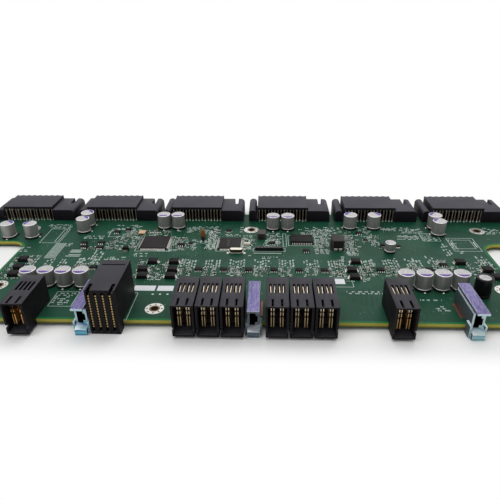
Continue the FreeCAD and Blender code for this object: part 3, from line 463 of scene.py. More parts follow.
finishes.update({
    "zinc": passivated_zinc("passivated_zinc", ((0.12, 0.50, 0.53), (0.06, 0.24, 0.49)), (0.42, 0.62, 0.70)),
    "pale_zinc": passivated_zinc("pale_zinc", ((0.34, 0.57, 0.54), (0.17, 0.36, 0.47)), (0.48, 0.66, 0.71)),
    # The centre guide's copy has darker tints: painted shade.
    "shaded_zinc": passivated_zinc("shaded_zinc", ((0.085, 0.135, 0.145), (0.045, 0.075, 0.10)),
                                 (0.075, 0.095, 0.115)),
    "can": can_metal(),
    "steel": pressed_steel(),
    "resin": dipped_resin(),
})
print(len(finishes), "finishes in all")

# %% [markdown]
# ## From formula to mesh
#
# A shape is an array of points and an array of faces. Repeating it a hundred times is then one
# broadcast sum, and Blender gets the whole mesh at once. Every new piece goes through `piece`,
# which moves it from the board's frame to the part's frame and makes it ride on the one body.

# %% Put meshes into the scene
SHARP_ANGLE = np.radians(36)


def add(name, data):
    """Puts a new object with this mesh, camera or lamp into the scene."""
    thing = bpy.data.objects.new(name, data)
    bpy.context.scene.collection.objects.link(thing)
    return thing


def show(name, mesh, finish, replaces=(), bevel=0.0):
    """Puts a finished mesh in the scene and rides it on the root body."""
    mesh.materials.clear()
    mesh.materials.append(finishes[finish])
    thing = add(name, mesh)
    if bevel:
        soft = thing.modifiers.new("soft_edges", "BEVEL")
        soft.width = bevel * MM
        soft.segments = 2
        soft.limit_method = "ANGLE"
        soft.angle_limit = SHARP_ANGLE
        soft.use_clamp_overlap = False
        soft.harden_normals = True
    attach(thing, "root")
    if replaces:
        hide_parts(*replaces)
    print(f"{name}: {len(mesh.polygons)} faces")
    return thing


def piece(name, shape, finish, replaces=(), smooth=False):
    """Makes a mesh at the origin from (points in mm, faces), with all faces turned outwards."""
    points, faces = shape
    mesh = bpy.data.meshes.new(name)
    mesh.from_pydata(((points + ORIGIN) * MM).tolist(), [], [face.tolist() for face in faces])
    form = bmesh.new()
    form.from_mesh(mesh)
    bmesh.ops.recalc_face_normals(form, faces=form.faces)
    form.to_mesh(mesh)
    form.free()
    mesh.polygons.foreach_set("use_smooth", np.full(len(mesh.polygons), smooth))
    mesh.set_sharp_from_angle(angle=SHARP_ANGLE)
    mesh.validate()
    return show(name, mesh, finish, replaces)


print(f"edges over {np.degrees(SHARP_ANGLE):.0f} degrees stay sharp")

# %% Copy, join and skin arrays
def repeat(shape, places, turns=0.0, stretch=1.0):
    """Copies a shape to each place: stretched along x, turned about the vertical, then moved.

    A turn by an angle a gives x cos a - y sin a, and x sin a + y cos a.
    """
    points, faces = shape
    places = np.atleast_2d(np.asarray(places, float))
    turns, stretch = [np.broadcast_to(part, len(places))[:, None] for part in (turns, stretch)]
    cos, sin = np.cos(turns), np.sin(turns)
    x, y, z = points[:, X] * stretch, points[:, Y], points[:, Z]
    moved = np.stack([x * cos - y * sin, x * sin + y * cos, np.broadcast_to(z, x.shape)], -1)
    moved = (moved + places[:, None, :]).reshape(-1, 3)
    starts = range(0, len(moved), len(points))
    return moved, [face + start for start in starts for face in faces]


def merge(*shapes):
    """Joins shapes into one pair of points and faces."""
    points, faces, count = [], [], 0
    for shape_points, shape_faces in shapes:
        points.append(shape_points)
        faces.extend(face + count for face in shape_faces)
        count += len(shape_points)
    return np.concatenate(points), faces


def loft(rings):
    """Skins a stack of rings (levels, points around, 3) and closes both ends with a cap."""
    rings = np.asarray(rings)
    levels, around = rings.shape[:2]
    index = np.arange(levels * around).reshape(levels, around)
    following = np.roll(index, -1, 1)
    quads = np.stack([index[:-1], following[:-1], following[1:], index[1:]], -1).reshape(-1, 4)
    return rings.reshape(-1, 3), [*quads, index[0][::-1], index[-1]]


def lift(flat, height=0.0):
    """Flat points, all at one height over the board's top."""
    flat = np.asarray(flat, float)
    return np.c_[flat, np.full(len(flat), height)]


wedge = loft([lift([(0, 0), (1, 0), (0, 1)], height) for height in (0, 1)])
print(f"a wedge, as a test: {len(wedge[0])} points and {len(wedge[1])} faces")

# %% [markdown]
# ## Solids with softened edges
#
# No moulding, casting or chip has a knife edge: the mould's own corners are slightly round, and that
# thin round catches a line of light. A copy of each solid is welded, its flat triangles are melted
# together, and a narrow bevel rounds what is left. The fine contacts keep their solids and only
# change finish.

# %% Give the solids their finishes
slot_finishes = {
    "connector_black": "plastic",
    "contact_tin": "tail",
    "contact_gold": "contact",
    "guide_zinc": "zinc",
    "board_green": "board",
    "chip_black": "epoxy",
    "base_black": "base",
    "sleeve_black": "sleeve",
    "inductor_grey": "ferrite",
    "oscillator_cream": "ceramic",
    "dipped_orange": "resin",
    "label_white": "paper",
    "crystal_steel": "steel",
    "can_aluminium": "can",
}
own_finishes = {
    "processor_chip": "brown_epoxy",
    "logic_chip": "brown_epoxy",
    "filter_block": "brown_ferrite",
    "power_contacts_1": "lit_orange_contact",
    "power_contacts_8": "lit_amber_contact",
    "oscillator": "tan",
    "guide_socket_centre": "shaded_zinc",
    "guide_socket_right": "pale_zinc",
}
SOCKETS = [f"psu_socket_{i}" for i in range(1, 7)]
GUIDES = [f"guide_socket_{name}" for name in ("left", "centre", "right")]
own_finishes.update({node: "socket" for node in SOCKETS})
slots = {row["node"]: row["material_slot"] for row in frame["record"]["subparts"]}
looks = {node: own_finishes.get(node, slot_finishes[slot]) for node, slot in slots.items()}
for node, look in looks.items():
    solid = frame["nodes"][node]
    solid.data.materials.clear()
    solid.data.materials.append(finishes[look])
print(len(looks), "solids have a finish")

# %% Weld, melt and round the mouldings
WELD, FLAT_ANGLE = 1e-6, np.radians(0.5)
EDGE_WIDTHS = {"psu_socket_": 0.2, "power_receptacle_": 0.16, "signal_receptacle": 0.16,
               "guide_socket_": 0.22, "processor_chip": 0.12, "logic_chip": 0.12, "driver_chip": 0.12,
               "controller_chips": 0.12, "power_diodes": 0.15, "small_transistors": 0.12,
               "power_inductor": 0.3, "filter_block": 0.2, "oscillator": 0.15}


def softened(node, width):
    """A copy of a solid with its triangles joined and its sharp edges rounded by width in mm."""
    mesh = frame["nodes"][node].data.copy()
    form = bmesh.new()
    form.from_mesh(mesh)
    bmesh.ops.remove_doubles(form, verts=form.verts, dist=WELD)
    bmesh.ops.dissolve_limit(form, angle_limit=FLAT_ANGLE, verts=form.verts, edges=form.edges)
    form.to_mesh(mesh)
    form.free()
    mesh.polygons.foreach_set("use_smooth", np.full(len(mesh.polygons), True))
    return show(node + "_soft", mesh, looks[node], (node,), bevel=width)


for node in slots:
    for start, width in EDGE_WIDTHS.items():
        if node.startswith(start):
            softened(node, width)

# %% [markdown]
# The guides' bores are deep and unlit. A darker metal would change the outside too, so a thin cup
# inside each bore stands for the oily shade down there. It follows the keyed outline, a hair inside.

# %% Dark cups in the guide bores
BORE_HALF, BORE_LOW, BORE_HIGH = 2.3, 1.0, 10.6
KEY_SIDE, KEY_TOP = 0.8, 2.6
STOP_SIDE, STOP_LOW = 1.2, 7.0
BORE_FRONT, BORE_BACK = -4.4, 15.0
CUP_INSIDE, CUP_OUTSIDE, CUP_FLOOR = 0.12, 0.02, 0.1


def node_box(node):
    """A node's lowest and highest corner in the board's frame."""
    low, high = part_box(node)
    return np.array(low) / MM - ORIGIN, np.array(high) / MM - ORIGIN


def keyed_ring(inset, place):
    """The keyed hole seen from the front, drawn in by inset all round, at one depth."""
    half, low, high = BORE_HALF - inset, BORE_LOW + inset, BORE_HIGH - inset
    key, stop = KEY_SIDE - inset, STOP_SIDE - inset
    key_top, stop_low = KEY_TOP + inset, STOP_LOW - inset
    hole = np.array([(-half, low), (key, low), (key, key_top), (half, key_top),
                     (half, stop_low), (stop, stop_low), (stop, high), (-half, high)])
    return lift(hole, place)[:, [X, Z, Y]]


cup = loft([keyed_ring(CUP_INSIDE, BORE_BACK - CUP_FLOOR), keyed_ring(CUP_INSIDE, BORE_FRONT),
            keyed_ring(CUP_OUTSIDE, BORE_FRONT), keyed_ring(CUP_OUTSIDE, BORE_BACK)])
guide_x = [sum(node_box(node))[X] / 2 for node in GUIDES]
piece("bore_cups", repeat(cup, [(x, 0, 0) for x in guide_x]), "base")

# %% [markdown]
# ## Can capacitors
#
# A can is drawn from sheet aluminium, rolled in near its base to grip the rubber bung, and
# rounded over at the top edge. Stacked cylinders would miss the groove, so one lathe profile holds
# all of it. The ink segment on the lid marks the negative side, and it is cut by a chord.

# %% Cans, lids and polarity marks
CAN_COUNT = 20
FRONT_HEADINGS = [-90] * 8
REAR_HEADINGS = [50, 165, 40, 40, -90, -90, -90, -90, 140, 30, 145, 145]
SMALL_HEADING = 200
ROLLED_FOOT = np.array([(-0.25, 0.0), (-0.05, 0.25), (-0.05, 0.5), (-0.14, 0.62), (-0.34, 0.76),
                        (-0.34, 0.95), (-0.14, 1.12), (0.0, 1.3)])
LID_ROUND, LID_RIM, LID_SINK = 0.45, 0.62, 0.05
INK_MARGIN = 0.6


def islands(node, count):
    """The boxes (count, 2, 3) of the equal solids in one node, in the board's frame."""
    mesh = frame["nodes"][node].data
    points = np.empty(len(mesh.vertices) * 3)
    mesh.vertices.foreach_get("co", points)
    points = points.reshape(count, -1, 3) / MM - ORIGIN
    return np.stack([points.min(1), points.max(1)], 1)


def stand(node):
    """Where a node stands on the board, and its lowest and highest corner seen from there."""
    low, high = node_box(node)
    middle = (low + high) / 2 * (1, 1, 0)
    return middle, low - middle, high - middle


def circle(sides):
    """Unit vectors round a circle: cos a and sin a."""
    angle = np.arange(sides) * 2 * np.pi / sides
    return np.c_[np.cos(angle), np.sin(angle)]


def sweep(profile, ring):
    """Scales a flat ring by each size of a profile, and lifts it to the height beside that size."""
    profile = np.asarray(profile, float)
    flat = profile[:, 0, None, None] * ring
    height = np.broadcast_to(profile[:, 1, None, None], (*flat.shape[:2], 1))
    return loft(np.concatenate([flat, height], -1))


def lathe(profile, sides=40):
    """Turns (radius, height) pairs about the vertical: x = r cos a, y = r sin a."""
    return sweep(profile, circle(sides))


def quarter(radius, top, bend, steps=5):
    """Profile of a rounded rim: from the wall at full radius up and in to the top, by cos and sin."""
    angle = np.linspace(0, np.pi / 2, steps)
    return np.c_[radius - bend + bend * np.cos(angle), top - bend + bend * np.sin(angle)]


def can_profile(radius, height, base):
    """Radius and height of the can's wall from the base up: foot, rolled groove, wall, rounded lid."""
    floor = [(radius * 0.6, base)]
    lid = [(radius - LID_RIM, height - LID_SINK), (radius * 0.4, height - LID_SINK)]
    return np.concatenate([floor, ROLLED_FOOT + (radius, base), quarter(radius, height, LID_ROUND), lid])


def ink_segment(radius, height, share=0.46):
    """The part of a disc beyond a chord: an arc closed by a straight edge."""
    reach = np.arccos(share)
    angle = np.linspace(-reach, reach, 13)
    arc = np.c_[np.cos(angle), np.sin(angle)] * (radius - INK_MARGIN)
    return loft([lift(arc, height - depth) for depth in (0.07, 0.02)])


can_boxes = islands("can_capacitors", CAN_COUNT)
can_middles = can_boxes.mean(1) * (1, 1, 0)
can_radius = (can_boxes[0, 1, X] - can_boxes[0, 0, X]) / 2
can_low, can_high = can_boxes[0, :, Z]
headings = np.radians(FRONT_HEADINGS + REAR_HEADINGS)
can = lathe(can_profile(can_radius, can_high, can_low))
piece("can_shells", repeat(can, can_middles), "can", ("can_capacitors",), smooth=True)
small_middle, small_low, small_high = stand("small_capacitor")
small_radius, _, small_top = small_high
small = repeat(lathe(can_profile(small_radius, small_top, small_low[Z])), small_middle)
piece("small_can_shell", small, "can", ("small_capacitor",), smooth=True)
small_segment = ink_segment(small_radius, small_top, share=0.7)
segments = merge(repeat(ink_segment(can_radius, can_high), can_middles, headings),
                 repeat(small_segment, small_middle, np.radians(SMALL_HEADING)))
piece("polarity_marks", segments, "violet")

# %% [markdown]
# The bases are moulded squares with two cut corners. Their tinned leads leave on two opposite sides
# and lie flat in a drop of solder, and a raised lip keeps the can upright. A lead is a flat strip, so
# it is a rectangle carried along a bent path.

# %% Base lips, leads and their solder
LIP_INSIDE, LIP_OUTSIDE, LIP_LOW, LIP_HIGH = 0.5, 0.05, 0.9, 1.1
LEAD_WIDTH, LEAD_THICKNESS = 1.1, 0.2


def ribbon(path, width, thickness):
    """Bends a flat strip along (out, up) points: each point gets a rectangle across the path."""
    path = np.asarray(path, float)
    way = np.gradient(path, axis=0)
    way /= np.linalg.norm(way, axis=1, keepdims=True)
    normal = np.stack([-way[:, 1], way[:, 0]], -1) * thickness / 2
    low, high = path - normal, path + normal
    half = np.full(len(path), width / 2)
    ring = [(low, -half), (low, half), (high, half), (high, -half)]
    return loft(np.array([np.c_[p[:, 0], w, p[:, 1]] for p, w in ring]).transpose(1, 0, 2))


def flat_ring(inner, outer, low, high):
    """Profile of a flat ring: the corners of a rectangle in radius and height."""
    return [(inner, low), (outer, low), (outer, high), (inner, high)]


def lump(radius, height, sides=10):
    """A drop of solder: radius r cos u and height h sin u."""
    u = np.linspace(0, 1.5, 4)
    return lathe(np.c_[radius * np.cos(u), height * np.sin(u)], sides)


base_half = can_radius + 0.1
lead_path = [(base_half - 2.0, 0.2), (base_half, 0.2), (base_half + 0.6, 0.14), (base_half + 0.9, 0.14)]
lead_strip = ribbon(lead_path, LEAD_WIDTH, LEAD_THICKNESS)
lip = lathe(flat_ring(can_radius - LIP_INSIDE, can_radius + LIP_OUTSIDE, LIP_LOW, LIP_HIGH))
piece("base_lips", repeat(lip, can_middles), "base")
base_turns = np.round(headings / (np.pi / 2)) * np.pi / 2
can_leads = []
for side in (0, np.pi):
    outward = np.c_[np.cos(base_turns + side), np.sin(base_turns + side), np.zeros(CAN_COUNT)]
    can_leads.append(repeat(lead_strip, can_middles, base_turns + side))
    can_leads.append(repeat(lump(0.75, 0.5), can_middles + outward * (base_half + 0.45)))
piece("can_leads", merge(*can_leads), "tin")

# %% [markdown]
# ## Sleeved can, dipped drop and crystal
#
# The sleeved can is a shrink tube that folds over the rim and leaves a bare metal disc, scored so
# that it can burst safely. The dipped capacitor is a drop of resin, and the crystal is a pressed
# steel tub with a welded flange. Each is a ring of points that changes with height.

# %% Sleeved can
SLEEVE_FOLD, DISC_SHARE = 0.7, 0.7
SCORE_TURNS = np.radians((90, 210, 330))


def box_ring(width, depth, height):
    """The four corners of a rectangle about the origin at one height."""
    corner = np.array([(-1, -1), (1, -1), (1, 1), (-1, 1)])
    return lift(corner * (width / 2, depth / 2), height)


def block(width, depth, low, high, taper=0.0):
    """A box about the origin whose top is smaller by taper on each side."""
    return loft([box_ring(width, depth, low), box_ring(width - 2 * taper, depth - 2 * taper, high)])


sleeve_middle, _, (sleeve_radius, _, sleeve_top) = stand("sleeved_capacitor")
disc_radius = sleeve_radius * DISC_SHARE
sleeve_foot = [(sleeve_radius * 0.6, 0.0), (sleeve_radius - 0.35, 0.0), (sleeve_radius - 0.12, 0.4),
               (sleeve_radius - 0.12, 1.5), (sleeve_radius - 0.3, 1.9), (sleeve_radius, 2.5)]
sleeve_mouth = [(disc_radius + 0.15, sleeve_top), (disc_radius, sleeve_top - 0.12),
                (disc_radius, sleeve_top - 0.4), (disc_radius * 0.5, sleeve_top - 0.4)]
sleeve_fold = quarter(sleeve_radius, sleeve_top, SLEEVE_FOLD)
sleeve = repeat(lathe(np.concatenate([sleeve_foot, sleeve_fold, sleeve_mouth])), sleeve_middle)
piece("sleeve_shell", sleeve, "sleeve", ("sleeved_capacitor",), smooth=True)
disc = lathe([(disc_radius * 0.5, sleeve_top - 0.41), (disc_radius - 0.02, sleeve_top - 0.41),
              (disc_radius - 0.02, sleeve_top - 0.28), (disc_radius * 0.8, sleeve_top - 0.2),
              (disc_radius * 0.3, sleeve_top - 0.2)])
piece("sleeve_disc", repeat(disc, sleeve_middle), "can", smooth=True)
# Painted shade: each scored groove is drawn as a thin black bar on the disc.
score = block(disc_radius * 0.8, 0.16, sleeve_top - 0.21, sleeve_top - 0.185)
score = repeat(score, (disc_radius * 0.42, 0, 0))
scores = merge(*(repeat(score, sleeve_middle, turn) for turn in SCORE_TURNS))
piece("sleeve_score_shades", scores, "base")

# %% Dipped drop and crystal tub
DROP_FOOT, DROP_RISE = 0.5, 3.0
DROP_WIRES = np.array([(-1.2, 0, 0), (1.2, 0, 0)])
TIP_OUT, TIP_FORWARD = 0.7, 0.9


def drop(half_width, half_depth, top, around=24):
    """A tall drop: ring size sin(u)^0.65, height 1 - cos(u), a little narrower at the top."""
    u = np.linspace(0.05, np.pi - 0.05, 14)
    swell = np.sin(u) ** 0.65 * (0.84 + 0.06 * np.cos(u))
    height = DROP_FOOT + (top - DROP_FOOT) * (1 - np.cos(u)) / 2
    return sweep(np.c_[swell, height], circle(around) * (half_width, half_depth))


def stadium(length, depth, inset, height):
    """A ring at one height: two half circles joined by straight sides, drawn in by inset."""
    radius = depth / 2 - inset
    turn = np.linspace(-np.pi / 2, np.pi / 2, 12)
    end = np.c_[(length - depth) / 2 + radius * np.cos(turn), radius * np.sin(turn)]
    return lift(np.concatenate([end, -end]), height)


drop_middle, _, (drop_width, drop_depth, drop_top) = stand("dipped_capacitor")
resin_drop = repeat(drop(drop_width, drop_depth, drop_top + DROP_RISE), drop_middle)
piece("dipped_drop", resin_drop, "resin", ("dipped_capacitor",), smooth=True)
wire_and_solder = merge(repeat(lathe([(0.3, 0.0), (0.3, 1.4)], 8), drop_middle + DROP_WIRES),
                        repeat(lump(0.7, 0.4), drop_middle + DROP_WIRES))
piece("drop_wires", wire_and_solder, "tin")
tub_middle, tub_low, tub_high = stand("crystal")
tub_length, tub_depth, tub_top = tub_high - tub_low
tub_steps = [(0.0, 0.12), (0.0, 0.62), (0.1, 0.72), (0.52, 0.76), (0.58, tub_top - 0.7),
             (0.7, tub_top - 0.25), (1.0, tub_top - 0.05), (1.3, tub_top)]
tub = loft([stadium(tub_length, tub_depth, inset, height) for inset, height in tub_steps])
piece("crystal_tub", repeat(tub, tub_middle), "steel", ("crystal",), smooth=True)
tub_tips = np.array([(side * (tub_length / 2 + TIP_OUT), -TIP_FORWARD, 0) for side in (-1, 1)])
tub_solder = repeat(lump(1.1, 0.55, 14), tub_middle + tub_tips)
piece("crystal_solder", tub_solder, "tin", smooth=True)

# %% [markdown]
# ## Signal contacts and solder
#
# Behind the tall housing's four slots stand columns of spring contacts, so fine that each reads as a
# string of gold beads on a spine painted dark as shade. Where a tail goes through the board, solder
# climbs it in a cone with hollow sides. One bead and a few cones are enough: copies are only sums of arrays.

# %% Gold beads in the tall housing
COMB_COUNT, BEAD_COUNT, BEAD_HALF, BEAD_DEPTH, SPINE_DEPTH = 4, 13, 0.4, 0.7, 3.8


def grid(xs, ys):
    """Every pair of two rows of numbers."""
    x, y = np.meshgrid(xs, ys)
    return np.c_[x.ravel(), y.ravel()]


comb_boxes = islands("signal_contacts", COMB_COUNT)
comb_low, comb_high = comb_boxes[0]
comb_x = comb_boxes[:, :, X].mean(1)
levels = np.linspace(comb_low[Z] + BEAD_HALF, comb_high[Z] - BEAD_HALF, BEAD_COUNT)
bead_spots = np.insert(grid(comb_x, levels), Y, comb_low[Y] + 0.5, axis=1)
beads = repeat(block(0.9, BEAD_DEPTH, -BEAD_HALF, BEAD_HALF, 0.12), bead_spots)
piece("signal_beads", beads, "gold", ("signal_contacts",))
spine_spots = np.c_[comb_x, np.full(COMB_COUNT, comb_high[Y] - SPINE_DEPTH / 2)]
spines = repeat(block(0.6, SPINE_DEPTH, comb_low[Z], comb_high[Z]), lift(spine_spots))
# Painted shade: the spines behind the gold beads are dark, for the shade inside the slots.
piece("signal_spines", spines, "tarnish")

# %% Solder cones above and below
TAIL_STEP, TAIL_ROWS = 0.5, 6.0
PLATE_FEET = (4.5, 7.5, 10.5)
HEADER_PINS, HEADER_END = 8, 1.27
SIGNAL_PITCH, SIGNAL_FRONT = (2.1, 2.0), 4.0
GUIDE_FEET = [(-2.2, 6.0), (-2.2, 18.0), (2.2, 6.0), (2.2, 18.0)]
# Cones: radius at the foot, radius at the neck and height.
TAIL_CONE, DEEP_CONE = (0.75, 0.42, 0.8), (1.0, 0.35, 1.2)
FINE_CONE, GUIDE_CONE = (0.7, 0.25, 0.8), (1.7, 0.9, 1.3)


def cone(foot, neck, height, sides=8):
    """Solder round a tail: the radius falls from foot to neck with the square of the way up."""
    up = np.linspace(0, 1, 4)
    return lathe(np.c_[neck + (foot - neck) * (1 - up) ** 2, height * up], sides)


def below(shape):
    """The same shape hung from the underside of the board."""
    points, faces = shape
    return points * (1, 1, -1) - (0, 0, BOARD_THICKNESS), faces


tail_boxes = np.concatenate([islands(f"psu_contacts_{i}", 16) for i in range(1, 7)])
tail_spots = lift(np.c_[tail_boxes.mean(1)[:, X], tail_boxes[:, 0, Y] + TAIL_STEP])
plate_boxes = np.concatenate([islands(f"power_contacts_{i}", 4) for i in range(1, 9)])
plate_spots = np.concatenate([plate_boxes.mean(1) * (1, 0, 0) + (0, y, 0) for y in PLATE_FEET])
signal_low, signal_high = node_box("signal_receptacle")
signal_spots = lift(grid(np.arange(signal_low[X] + 2, signal_high[X] - 1, SIGNAL_PITCH[X]),
                         np.arange(SIGNAL_FRONT, signal_high[Y] - 1, SIGNAL_PITCH[Y])))
header_low, header_high = node_box("pin_header")
header_x = np.linspace(header_low[X] + HEADER_END, header_high[X] - HEADER_END, HEADER_PINS)
header_spots = lift(np.c_[header_x, np.full(HEADER_PINS, (header_low[Y] + header_high[Y]) / 2)])
guide_spots = lift([(x + dx, y) for x in guide_x for dx, y in GUIDE_FEET])
piece("tail_solder", repeat(cone(*TAIL_CONE), tail_spots), "tin", smooth=True)
deep_spots = np.concatenate([tail_spots, tail_spots + (0, TAIL_ROWS, 0), plate_spots, header_spots,
                             drop_middle[None]])
solder_tips = merge(repeat(cone(*DEEP_CONE), deep_spots), repeat(cone(*FINE_CONE), signal_spots),
                    repeat(cone(*GUIDE_CONE, sides=12), guide_spots))
piece("solder_tips", below(solder_tips), "tin", smooth=True)

# %% [markdown]
# ## Chip leads
#
# A gull-wing lead leaves the body at half height, bends down and lies flat on its pad. A power diode
# has one wide tab at each end, folded down its side and out onto the pad. Both are flat strips carried
# along a bent path, so one ribbon is repeated along each side of every chip.

# %% Leads along the sides of the chips
ALL_SIDES = ("front", "back", "left", "right")
OUTWARD_TURN = {"right": 0, "back": np.pi / 2, "left": np.pi, "front": -np.pi / 2}
LEAD_SHEET, TAB_SHEET = 0.15, 0.16
LARGE_CHIPS = ("processor_chip", "logic_chip", "driver_chip")


def side_places(box, side, count, pitch):
    """Points along one side of a box, and the turn that makes a lead point outwards there."""
    low, high = box
    middle = (low + high) / 2
    spread = (np.arange(count) - (count - 1) / 2) * pitch
    edge = {"right": high[X], "left": low[X], "back": high[Y], "front": low[Y]}[side]
    if side in ("left", "right"):
        spots = np.c_[np.full(count, edge), middle[Y] + spread]
    else:
        spots = np.c_[middle[X] + spread, np.full(count, edge)]
    return lift(spots), OUTWARD_TURN[side]


def gull_wing(height, reach, width):
    """A lead: level out of the body, down, then flat on the board."""
    path = [(-0.5, height), (reach * 0.35, height), (reach * 0.5, height * 0.8), (reach * 0.6, 0.2),
            (reach * 0.75, 0.09), (reach, 0.09)]
    return ribbon(path, width, LEAD_SHEET)


def along_sides(strip, boxes, sides, count=1, pitch=0.0):
    """Copies of a strip on the given sides of each box, as one shape."""
    rows = [side_places(box, side, count, pitch) for box in boxes for side in sides]
    return merge(*(repeat(strip, places, turn) for places, turn in rows))


processor_box, logic_box, driver_box = [np.array([node_box(chip)]) for chip in LARGE_CHIPS]
controller_boxes = islands("controller_chips", 9)
diode_boxes = islands("power_diodes", 15)
transistor_boxes = islands("small_transistors", 11)
# Leads: boxes, sides, count and pitch, then height, reach and width of one lead.
LEADS = [(processor_box, ALL_SIDES, 28, 0.65, 0.75, 1.5, 0.34),
         (logic_box, ALL_SIDES, 14, 1.0, 0.75, 1.4, 0.5),
         (driver_box, ("front", "back"), 12, 1.27, 1.2, 1.3, 0.45),
         (controller_boxes, ("front", "back"), 4, 1.27, 0.7, 1.0, 0.42),
         (transistor_boxes, ("front",), 3, 1.5, 0.6, 0.9, 0.5),
         (transistor_boxes, ("back",), 1, 0.0, 0.6, 0.9, 1.6)]
leads = [along_sides(gull_wing(*row[4:]), *row[:4]) for row in LEADS]
tab_path = [(-0.3, 1.25), (0.18, 1.25), (0.24, 1.1), (0.28, 0.2), (0.35, 0.09), (1.0, 0.09)]
leads += [along_sides(ribbon(tab_path, 3.2, TAB_SHEET), diode_boxes, ("left", "right"))]
piece("chip_leads", merge(*leads), "tin")

# %% [markdown]
# Details that the eye uses to tell one black block from another: a moulded dimple beside pin one, the
# paler rub mark on the logic chip, the folded ends and feet of the power inductor, and the shield and
# corner pads of the oscillator. They are real geometry, a hair proud, so they keep their edges.

# %% Dimples, rub mark, inductor ends and oscillator shield
COIL_TERMINAL, COIL_FOOT = 1.7, 0.6


def band(profile, sides=48):
    """A closed profile turned about the vertical, with a hole through its middle."""
    points, faces = lathe(profile + profile[:1], sides)
    return points, faces[:-2]


def dimple(radius, box, inset):
    """A shallow ring near one corner of a chip's lid."""
    low, high = box
    ring = band(flat_ring(radius * 0.6, radius, 0.0, 0.02), 16)
    return repeat(ring, (low[X] + inset, low[Y] + inset, high[Z]))


large_dimples = (processor_box, 0.9), (logic_box, 0.8), (driver_box, 0.7)
dimples = [dimple(radius, box[0], 2.0) for box, radius in large_dimples]
dimples += [dimple(0.35, box, 0.9) for box in controller_boxes]
piece("pin_dimples", merge(*dimples), "epoxy")
logic_low, logic_high = logic_box[0]
rub = repeat(block(1.7, 11.0, -0.01, 0.015), (logic_low[X] + 7.0, logic_low[Y] + 9.0, logic_high[Z]))
piece("rub_mark", rub, "ferrite")
coil_low, coil_high = node_box("power_inductor")
coil_x = (coil_low[X] + coil_high[X]) / 2
coil_end = ribbon([(0.5, 0.2), (-0.1, 0.2), (-0.22, 0.4), (-0.22, 2.0), (-0.05, 2.3)], 2.4, 0.2)
end_spots = [(coil_x + dx, coil_low[Y], 0) for dx in (-COIL_TERMINAL, COIL_TERMINAL)]
piece("inductor_ends", repeat(coil_end, end_spots, np.pi / 2), "tin")
foot_spots = [(x, coil_low[Y] + 0.2, 0) for x in (coil_low[X] + COIL_FOOT, coil_high[X] - COIL_FOOT)]
piece("inductor_feet", repeat(block(1.5, 1.2, 0.0, 0.3, 0.2), foot_spots), "barrel")
shield_middle, shield_low, shield_high = stand("oscillator")
shield_width, shield_depth, shield_top = shield_high - shield_low
shield = block(shield_width - 1.3, shield_depth - 1.5, shield_top - 0.05, shield_top + 0.12, 0.08)
piece("oscillator_lid", repeat(shield, shield_middle), "ceramic")
shield_corners = box_ring(shield_width - 1.1, shield_depth - 1.1, 0.0)
corner_pad = block(1.5, 1.6, 0.0, shield_top - 0.3, 0.05)
piece("oscillator_pads", repeat(corner_pad, shield_middle + shield_corners), "tin")

# %% [markdown]
# ## Small parts between the chips
#
# Chip resistors and capacitors are little ceramic blocks with tinned ends. They stand in columns
# beside each controller chip and in loose rows around the larger chips. Hundreds are too many to place
# by hand, so a grid with a fixed seed keeps them apart, and whatever already stands on the board keeps
# its own ground clear.

# %% Free ground and scattered places
MARGIN = 1.5
GRID_SHIFT = 0.15
standing = (*LARGE_CHIPS, "crystal", "oscillator", "power_inductor", "filter_block", "pin_header",
            "dipped_capacitor", "sleeved_capacitor", "small_capacitor", "signal_receptacle",
            *GUIDES, *SOCKETS, *(f"power_receptacle_{i}" for i in range(1, 9)))
taken = np.concatenate([np.array([node_box(node) for node in standing]), controller_boxes, diode_boxes,
                        transistor_boxes, can_boxes, islands("board_labels", 3)])


def free(spots, margin=MARGIN):
    """True where a spot lies clear of everything that already stands on the board."""
    low = taken[:, 0, :2] - margin
    high = taken[:, 1, :2] + margin
    inside = (spots[:, None, :] > low) & (spots[:, None, :] < high)
    return ~inside.all(2).any(1)


def scatter(region, step, share):
    """A share of the cells of a grid over (left, near, right, far), shifted a little, on free ground."""
    left, near, right, far = region
    spots = grid(np.arange(left, right, step[0]), np.arange(near, far, step[1]))
    spots = spots + rng.uniform(-GRID_SHIFT, GRID_SHIFT, spots.shape) * step
    spots = spots[rng.random(len(spots)) < share]
    return spots[free(spots)]


rng = np.random.default_rng(7)
print(len(taken), "boxes keep their ground clear")

# %% Chip resistors and capacitors
COLUMN_STEP, COLUMN_SHARE = (1.9, 2.2), 0.62
BUSY_STEP, BUSY_SHARE = (2.6, 2.2), 0.75
NEAREST, DARK_SHARE = 1.7, 0.55
RIGHT_COLUMNS, LEFT_COLUMNS = (6.0, 11.5), (-11.0, -5.5)
COLUMN_BOX = (-1.9, -6.5, 1.9, 5.5)
# Busy ground: left, near, right, far and the share of it that parts or print cover.
busy_regions = [
    (-104, 86, -88, 112, 0.4), (-89, 89, -82.5, 110, 0.75), (-60.5, 86, -46, 108, 0.65),
    (-32, 88, -24, 122, 0.75), (-5, 88, 4, 112, 0.5), (11, 92, 24, 116, 0.4), (48, 84, 58, 122, 0.6),
    (70, 82, 78, 112, 0.6), (56, 100, 94, 120, 0.3), (-76, 44, -44, 72, 0.5), (60, 44, 80, 74, 0.45),
    (-166, 44, -150, 76, 0.5), (92, 88, 99, 114, 0.4), (-119, 86, -100, 100, 0.4), (-96, 108, -62, 121, 0.4),
    (148, 46, 168, 72, 0.35), (128, 60, 142, 74, 0.4), (-48, 88, -38, 104, 0.3),
]
controller_middles = controller_boxes.mean(1)[:, :2]
outer_middles = controller_middles[[0, 6, 7, 8]]
columns = np.concatenate([controller_middles + (offset, 0) for offset in RIGHT_COLUMNS]
                         + [outer_middles + (offset, 0) for offset in LEFT_COLUMNS])
column_corners = columns[:, [X, Y, X, Y]]
